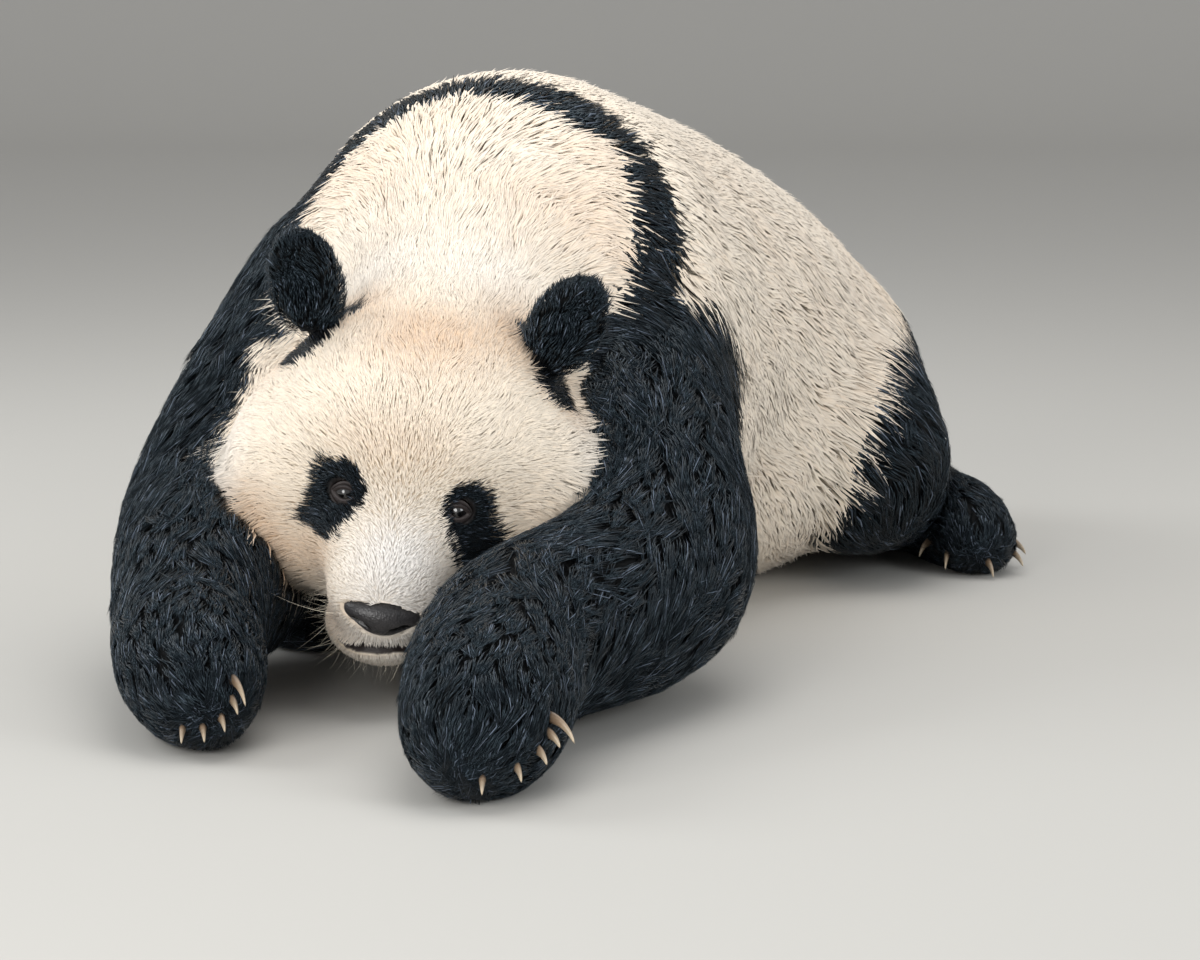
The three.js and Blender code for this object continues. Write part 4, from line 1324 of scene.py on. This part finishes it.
# %% A graph that stands bristles on points
def bristle_graph():
    tree = bpy.data.node_groups.new("bristles", "GeometryNodeTree")
    for label, kind, value in (("Geometry", "Geometry", None), ("Thickness", "Float", 0.008),
                               ("Bend", "Float", 0.2), ("Seed", "Int", 3), ("Material", "Material", None)):
        socket = tree.interface.new_socket(label, in_out="INPUT", socket_type="NodeSocket" + kind)
        if value is not None:
            socket.default_value = value
    tree.interface.new_socket("Geometry", in_out="OUTPUT", socket_type="NodeSocketGeometry")
    g = Graph(tree)
    given = g.add("NodeGroupInput").outputs

    def stored(name, kind):
        made = g.add("GeometryNodeInputNamedAttribute", Name=name)
        made.data_type = kind
        return made.outputs["Attribute"]

    def chance(low, high, number):
        made = g.add("FunctionNodeRandomValue", Seed=g.maths("ADD", given["Seed"], float(number)))
        made.data_type = "FLOAT"
        floats = [socket for socket in made.inputs if socket.type == "VALUE"]
        floats[0].default_value, floats[1].default_value = low, high
        return next(socket for socket in made.outputs if socket.type == "VALUE")

    # One bristle: a thin cone that bends over to one side.
    hair = g.add("GeometryNodeMeshCone", Vertices=5, Side_Segments=6, Radius_Top=0.0, Depth=1.0,
                 Radius_Bottom=given["Thickness"])
    height = g.add("ShaderNodeSeparateXYZ", Vector=g.add("GeometryNodeInputPosition").outputs[0]).outputs["Z"]
    aside = g.maths("MULTIPLY", g.maths("MULTIPLY", height, height), given["Bend"])
    curved = g.add("GeometryNodeSetPosition", Geometry=hair.outputs["Mesh"],
                   Offset=g.add("ShaderNodeCombineXYZ", X=aside).outputs[0])
    # It stands along the way stored at its point, turned by chance round that way.
    stand = g.add("FunctionNodeAlignRotationToVector", Vector=stored("way", "FLOAT_VECTOR"))
    stand.axis = "Z"
    twist = g.add("FunctionNodeEulerToRotation")
    g.give(twist.inputs[0], g.add("ShaderNodeCombineXYZ", Z=chance(-1.3, 1.3, 1)).outputs[0])
    both = g.add("FunctionNodeRotateRotation")
    both.rotation_space = "LOCAL"
    for socket, value in zip(both.inputs, (stand.outputs[0], twist.outputs[0])):
        g.give(socket, value)
    points = g.add("GeometryNodeMeshToPoints", Mesh=given["Geometry"])
    copies = g.add("GeometryNodeInstanceOnPoints", Points=points.outputs["Points"],
                   Instance=curved.outputs["Geometry"], Rotation=both.outputs[0],
                   Scale=g.maths("MULTIPLY", stored("size", "FLOAT"), chance(0.75, 1.25, 2)))
    real = g.add("GeometryNodeRealizeInstances", Geometry=copies.outputs["Instances"])
    dressed = g.add("GeometryNodeSetMaterial", Geometry=real.outputs["Geometry"], Material=given["Material"])
    g.add("NodeGroupOutput", Geometry=dressed.outputs["Geometry"])
    return tree


BRISTLES = bristle_graph()


def bristle_piece(name, at, ways, sizes, paint, **values):
    """Bristles on the points, as one plain mesh."""
    made = mesh_object(name, np.asarray(at), [])
    way_column = made.data.attributes.new("way", "FLOAT_VECTOR", "POINT")
    way_column.data.foreach_set("vector", np.asarray(ways, np.float32).ravel())
    store(made.data, size=np.asarray(sizes, np.float32) / 1000)
    graph = made.modifiers.new("bristles", "NODES")
    graph.node_group = BRISTLES
    identifiers = {i.name: i.identifier for i in BRISTLES.interface.items_tree if i.in_out == "INPUT"}
    for key, value in dict(values, Material=paint).items():
        graph[identifiers[key]] = value
    bpy.context.view_layer.update()
    done = bpy.data.meshes.new_from_object(made.evaluated_get(bpy.context.evaluated_depsgraph_get()))
    made.modifiers.clear()
    made.data = done
    print(name, len(at), "bristles,", len(done.polygons), "faces")
    return made


# %% Whiskers and lashes
#            middle, spread, way, how many, length
WHISKERS = [((44, 142, -62), (6, 12, 16), (0.8, 0.35, -0.35), 20, 26),
            ((-48, 132, -60), (5, 14, 24), (-0.85, 0.2, -0.3), 46, 24),
            ((-44, 140, -84), (6, 10, 10), (-0.8, 0.2, -0.55), 3, 60),
            ((0, 150, -112), (24, 8, 5), (0.0, 0.45, -0.9), 44, 19),
            ((-30, 140, -104), (10, 12, 8), (-0.45, 0.3, -0.8), 20, 26),
            ((-84, 70, -72), (20, 18, 12), (-0.8, 0.1, -0.6), 14, 24)]


def whisker_spots(seed=23):
    """Roots and ways of the whiskers, with their lengths."""
    draw = np.random.default_rng(seed)
    at, ways, sizes = [], [], []
    for middle, spread, way_, count, size in WHISKERS:
        at += [in_head(*p) for p in np.array(middle) + draw.normal(0, 1, (count, 3)) * spread * 0.8]
        ways += [HEAD @ unit(np.array(way_) + draw.normal(0, 0.22, 3)) for _ in range(count)]
        sizes += list(size * draw.uniform(0.6, 1.2, count))
    return drawn_onto(skin, np.array(at), 8, 0.6, 12.0), np.array(ways), np.array(sizes)


def lash_spots(count=16, size=5.0):
    """The same for the lashes, along the upper rim of each eye."""
    at, ways = [], []
    for _, s in SIDES:
        ball, level, up, forward = eye_frame(s)
        for t in np.radians(np.linspace(20, 160, count)):
            rim_way = unit(forward + math.tan(0.80 * math.cos(t)) * level + math.tan(0.52 * math.sin(t)) * up)
            at.append(ball + rim_way * (EYE_RADIUS + 1.2))
            ways.append(unit(0.7 * forward + 0.55 * math.cos(t) * level + 0.75 * math.sin(t) * up))
    return at, ways, np.full(len(at), size)


PALE_BRISTLE = material("pale_bristle", Base_Color=srgb(236, 226, 206), Roughness=0.4)[0]
DARK_BRISTLE = material("dark_bristle", Base_Color=srgb(16, 14, 14), Roughness=0.4)[0]
whiskers = bristle_piece("whiskers", *whisker_spots(), PALE_BRISTLE, Thickness=0.0042, Bend=0.22, Seed=3)
lashes = bristle_piece("lashes", *lash_spots(), DARK_BRISTLE, Thickness=0.05, Bend=0.35, Seed=9)

# %% [markdown]
# ## Camera, floor and light
# The camera looks a little down from in front with a long lens, so the head is drawn without
# stretching. The floor and the light are plain: a large soft lamp overhead, one at each side for
# the sheen of the fur, a broad one from in front, and a pale sky.

# %% Camera and light
camera = placed("camera", bpy.data.cameras.new("camera"))
camera.data.lens, camera.data.sensor_width, camera.data.clip_end = 135.6, 36, 50
camera.location = to_metres(np.array([0, -4270.0, 749.0]))
camera.rotation_euler = (math.radians(90 - 8), 0, 0)
bpy.context.scene.camera = camera


def lamp(name, at, aim, size, power, colour):
    data = bpy.data.lights.new(name, "AREA")
    data.shape, data.size, data.energy, data.color = "DISK", size, power, colour
    made = placed(name, data)
    made.location = at
    made.rotation_euler = (Vector(aim) - Vector(at)).to_track_quat("-Z", "Y").to_euler()


lamp("overhead", (0.3, 0.6, 3.2), (0, -0.1, 0.2), 2.6, 45, (1.0, 0.99, 0.97))
lamp("window_left", (-2.4, 0.6, 1.9), (-0.1, -0.1, 0.3), 1.6, 29, (0.96, 0.99, 1.0))
lamp("window_right", (2.4, -2.2, 1.3), (0, -0.3, 0.2), 1.8, 34, (0.94, 0.98, 1.0))
lamp("fill_front", (-1.5, -3.1, 1.0), (-0.15, -0.3, 0.15), 2.0, 66, (1.0, 0.99, 0.97))
bpy.context.scene.view_settings.view_transform = "Standard"
world = bpy.context.scene.world = bpy.data.worlds.new("pale_sky")
world.use_nodes = True
Graph(world.node_tree).dress(world.node_tree.nodes["Background"], Color=(0.97, 0.98, 1.0, 1), Strength=0.62)


def floor_piece():
    """A floor that turns up into a backdrop far behind."""
    half_wide, bend_at, turn, top = 12.0, 7.0, 2.0, 8.0
    arc = [(bend_at + turn * math.sin(a), turn - turn * math.cos(a))
           for a in np.radians(np.linspace(0, 90, 13))]
    profile = [(-half_wide, 0.0), *arc, (bend_at + turn, top)]
    verts = [(x, y, z - 0.0005) for x in (-half_wide, half_wide) for y, z in profile]
    n = len(profile)
    mesh = bpy.data.meshes.new("floor")
    mesh.from_pydata(verts, [], [(i, n + i, n + i + 1, i + 1) for i in range(n - 1)])
    mesh.shade_smooth()
    mesh.materials.append(material("pale_floor", Base_Color=srgb(190, 188, 183), Roughness=0.7)[0])
    return placed("floor", mesh)


floor_piece()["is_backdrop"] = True

# %% [markdown]
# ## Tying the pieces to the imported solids
# The model has no joints, so everything rides on its one body. The skin stands for every node of
# flesh, the claws, eyes and nose for their own nodes.

# %% Riding and replacing
FLESH = [n for n in frame["nodes"] if not (n.startswith(("eye", "fore_claw", "hind_claw")) or n == "nose")]
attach(body_skin, "root")
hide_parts(*FLESH)
for piece in coat:
    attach(piece, "root")
for (side, _), made in zip(SIDES, eyes):
    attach(made, "root")
    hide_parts("eye_" + side)
for made in (whiskers, lashes):
    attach(made, "root")
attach(nose, "root")
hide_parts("nose")
for prefix, made in claws.items():
    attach(made, "root")
    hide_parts(*[n for n in frame["nodes"] if n.startswith(prefix)])


# %% Sizes, and the end
import json

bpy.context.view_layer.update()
print("visual box", [list(corner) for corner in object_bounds()], round(time.time() - STARTED, 1), "s")
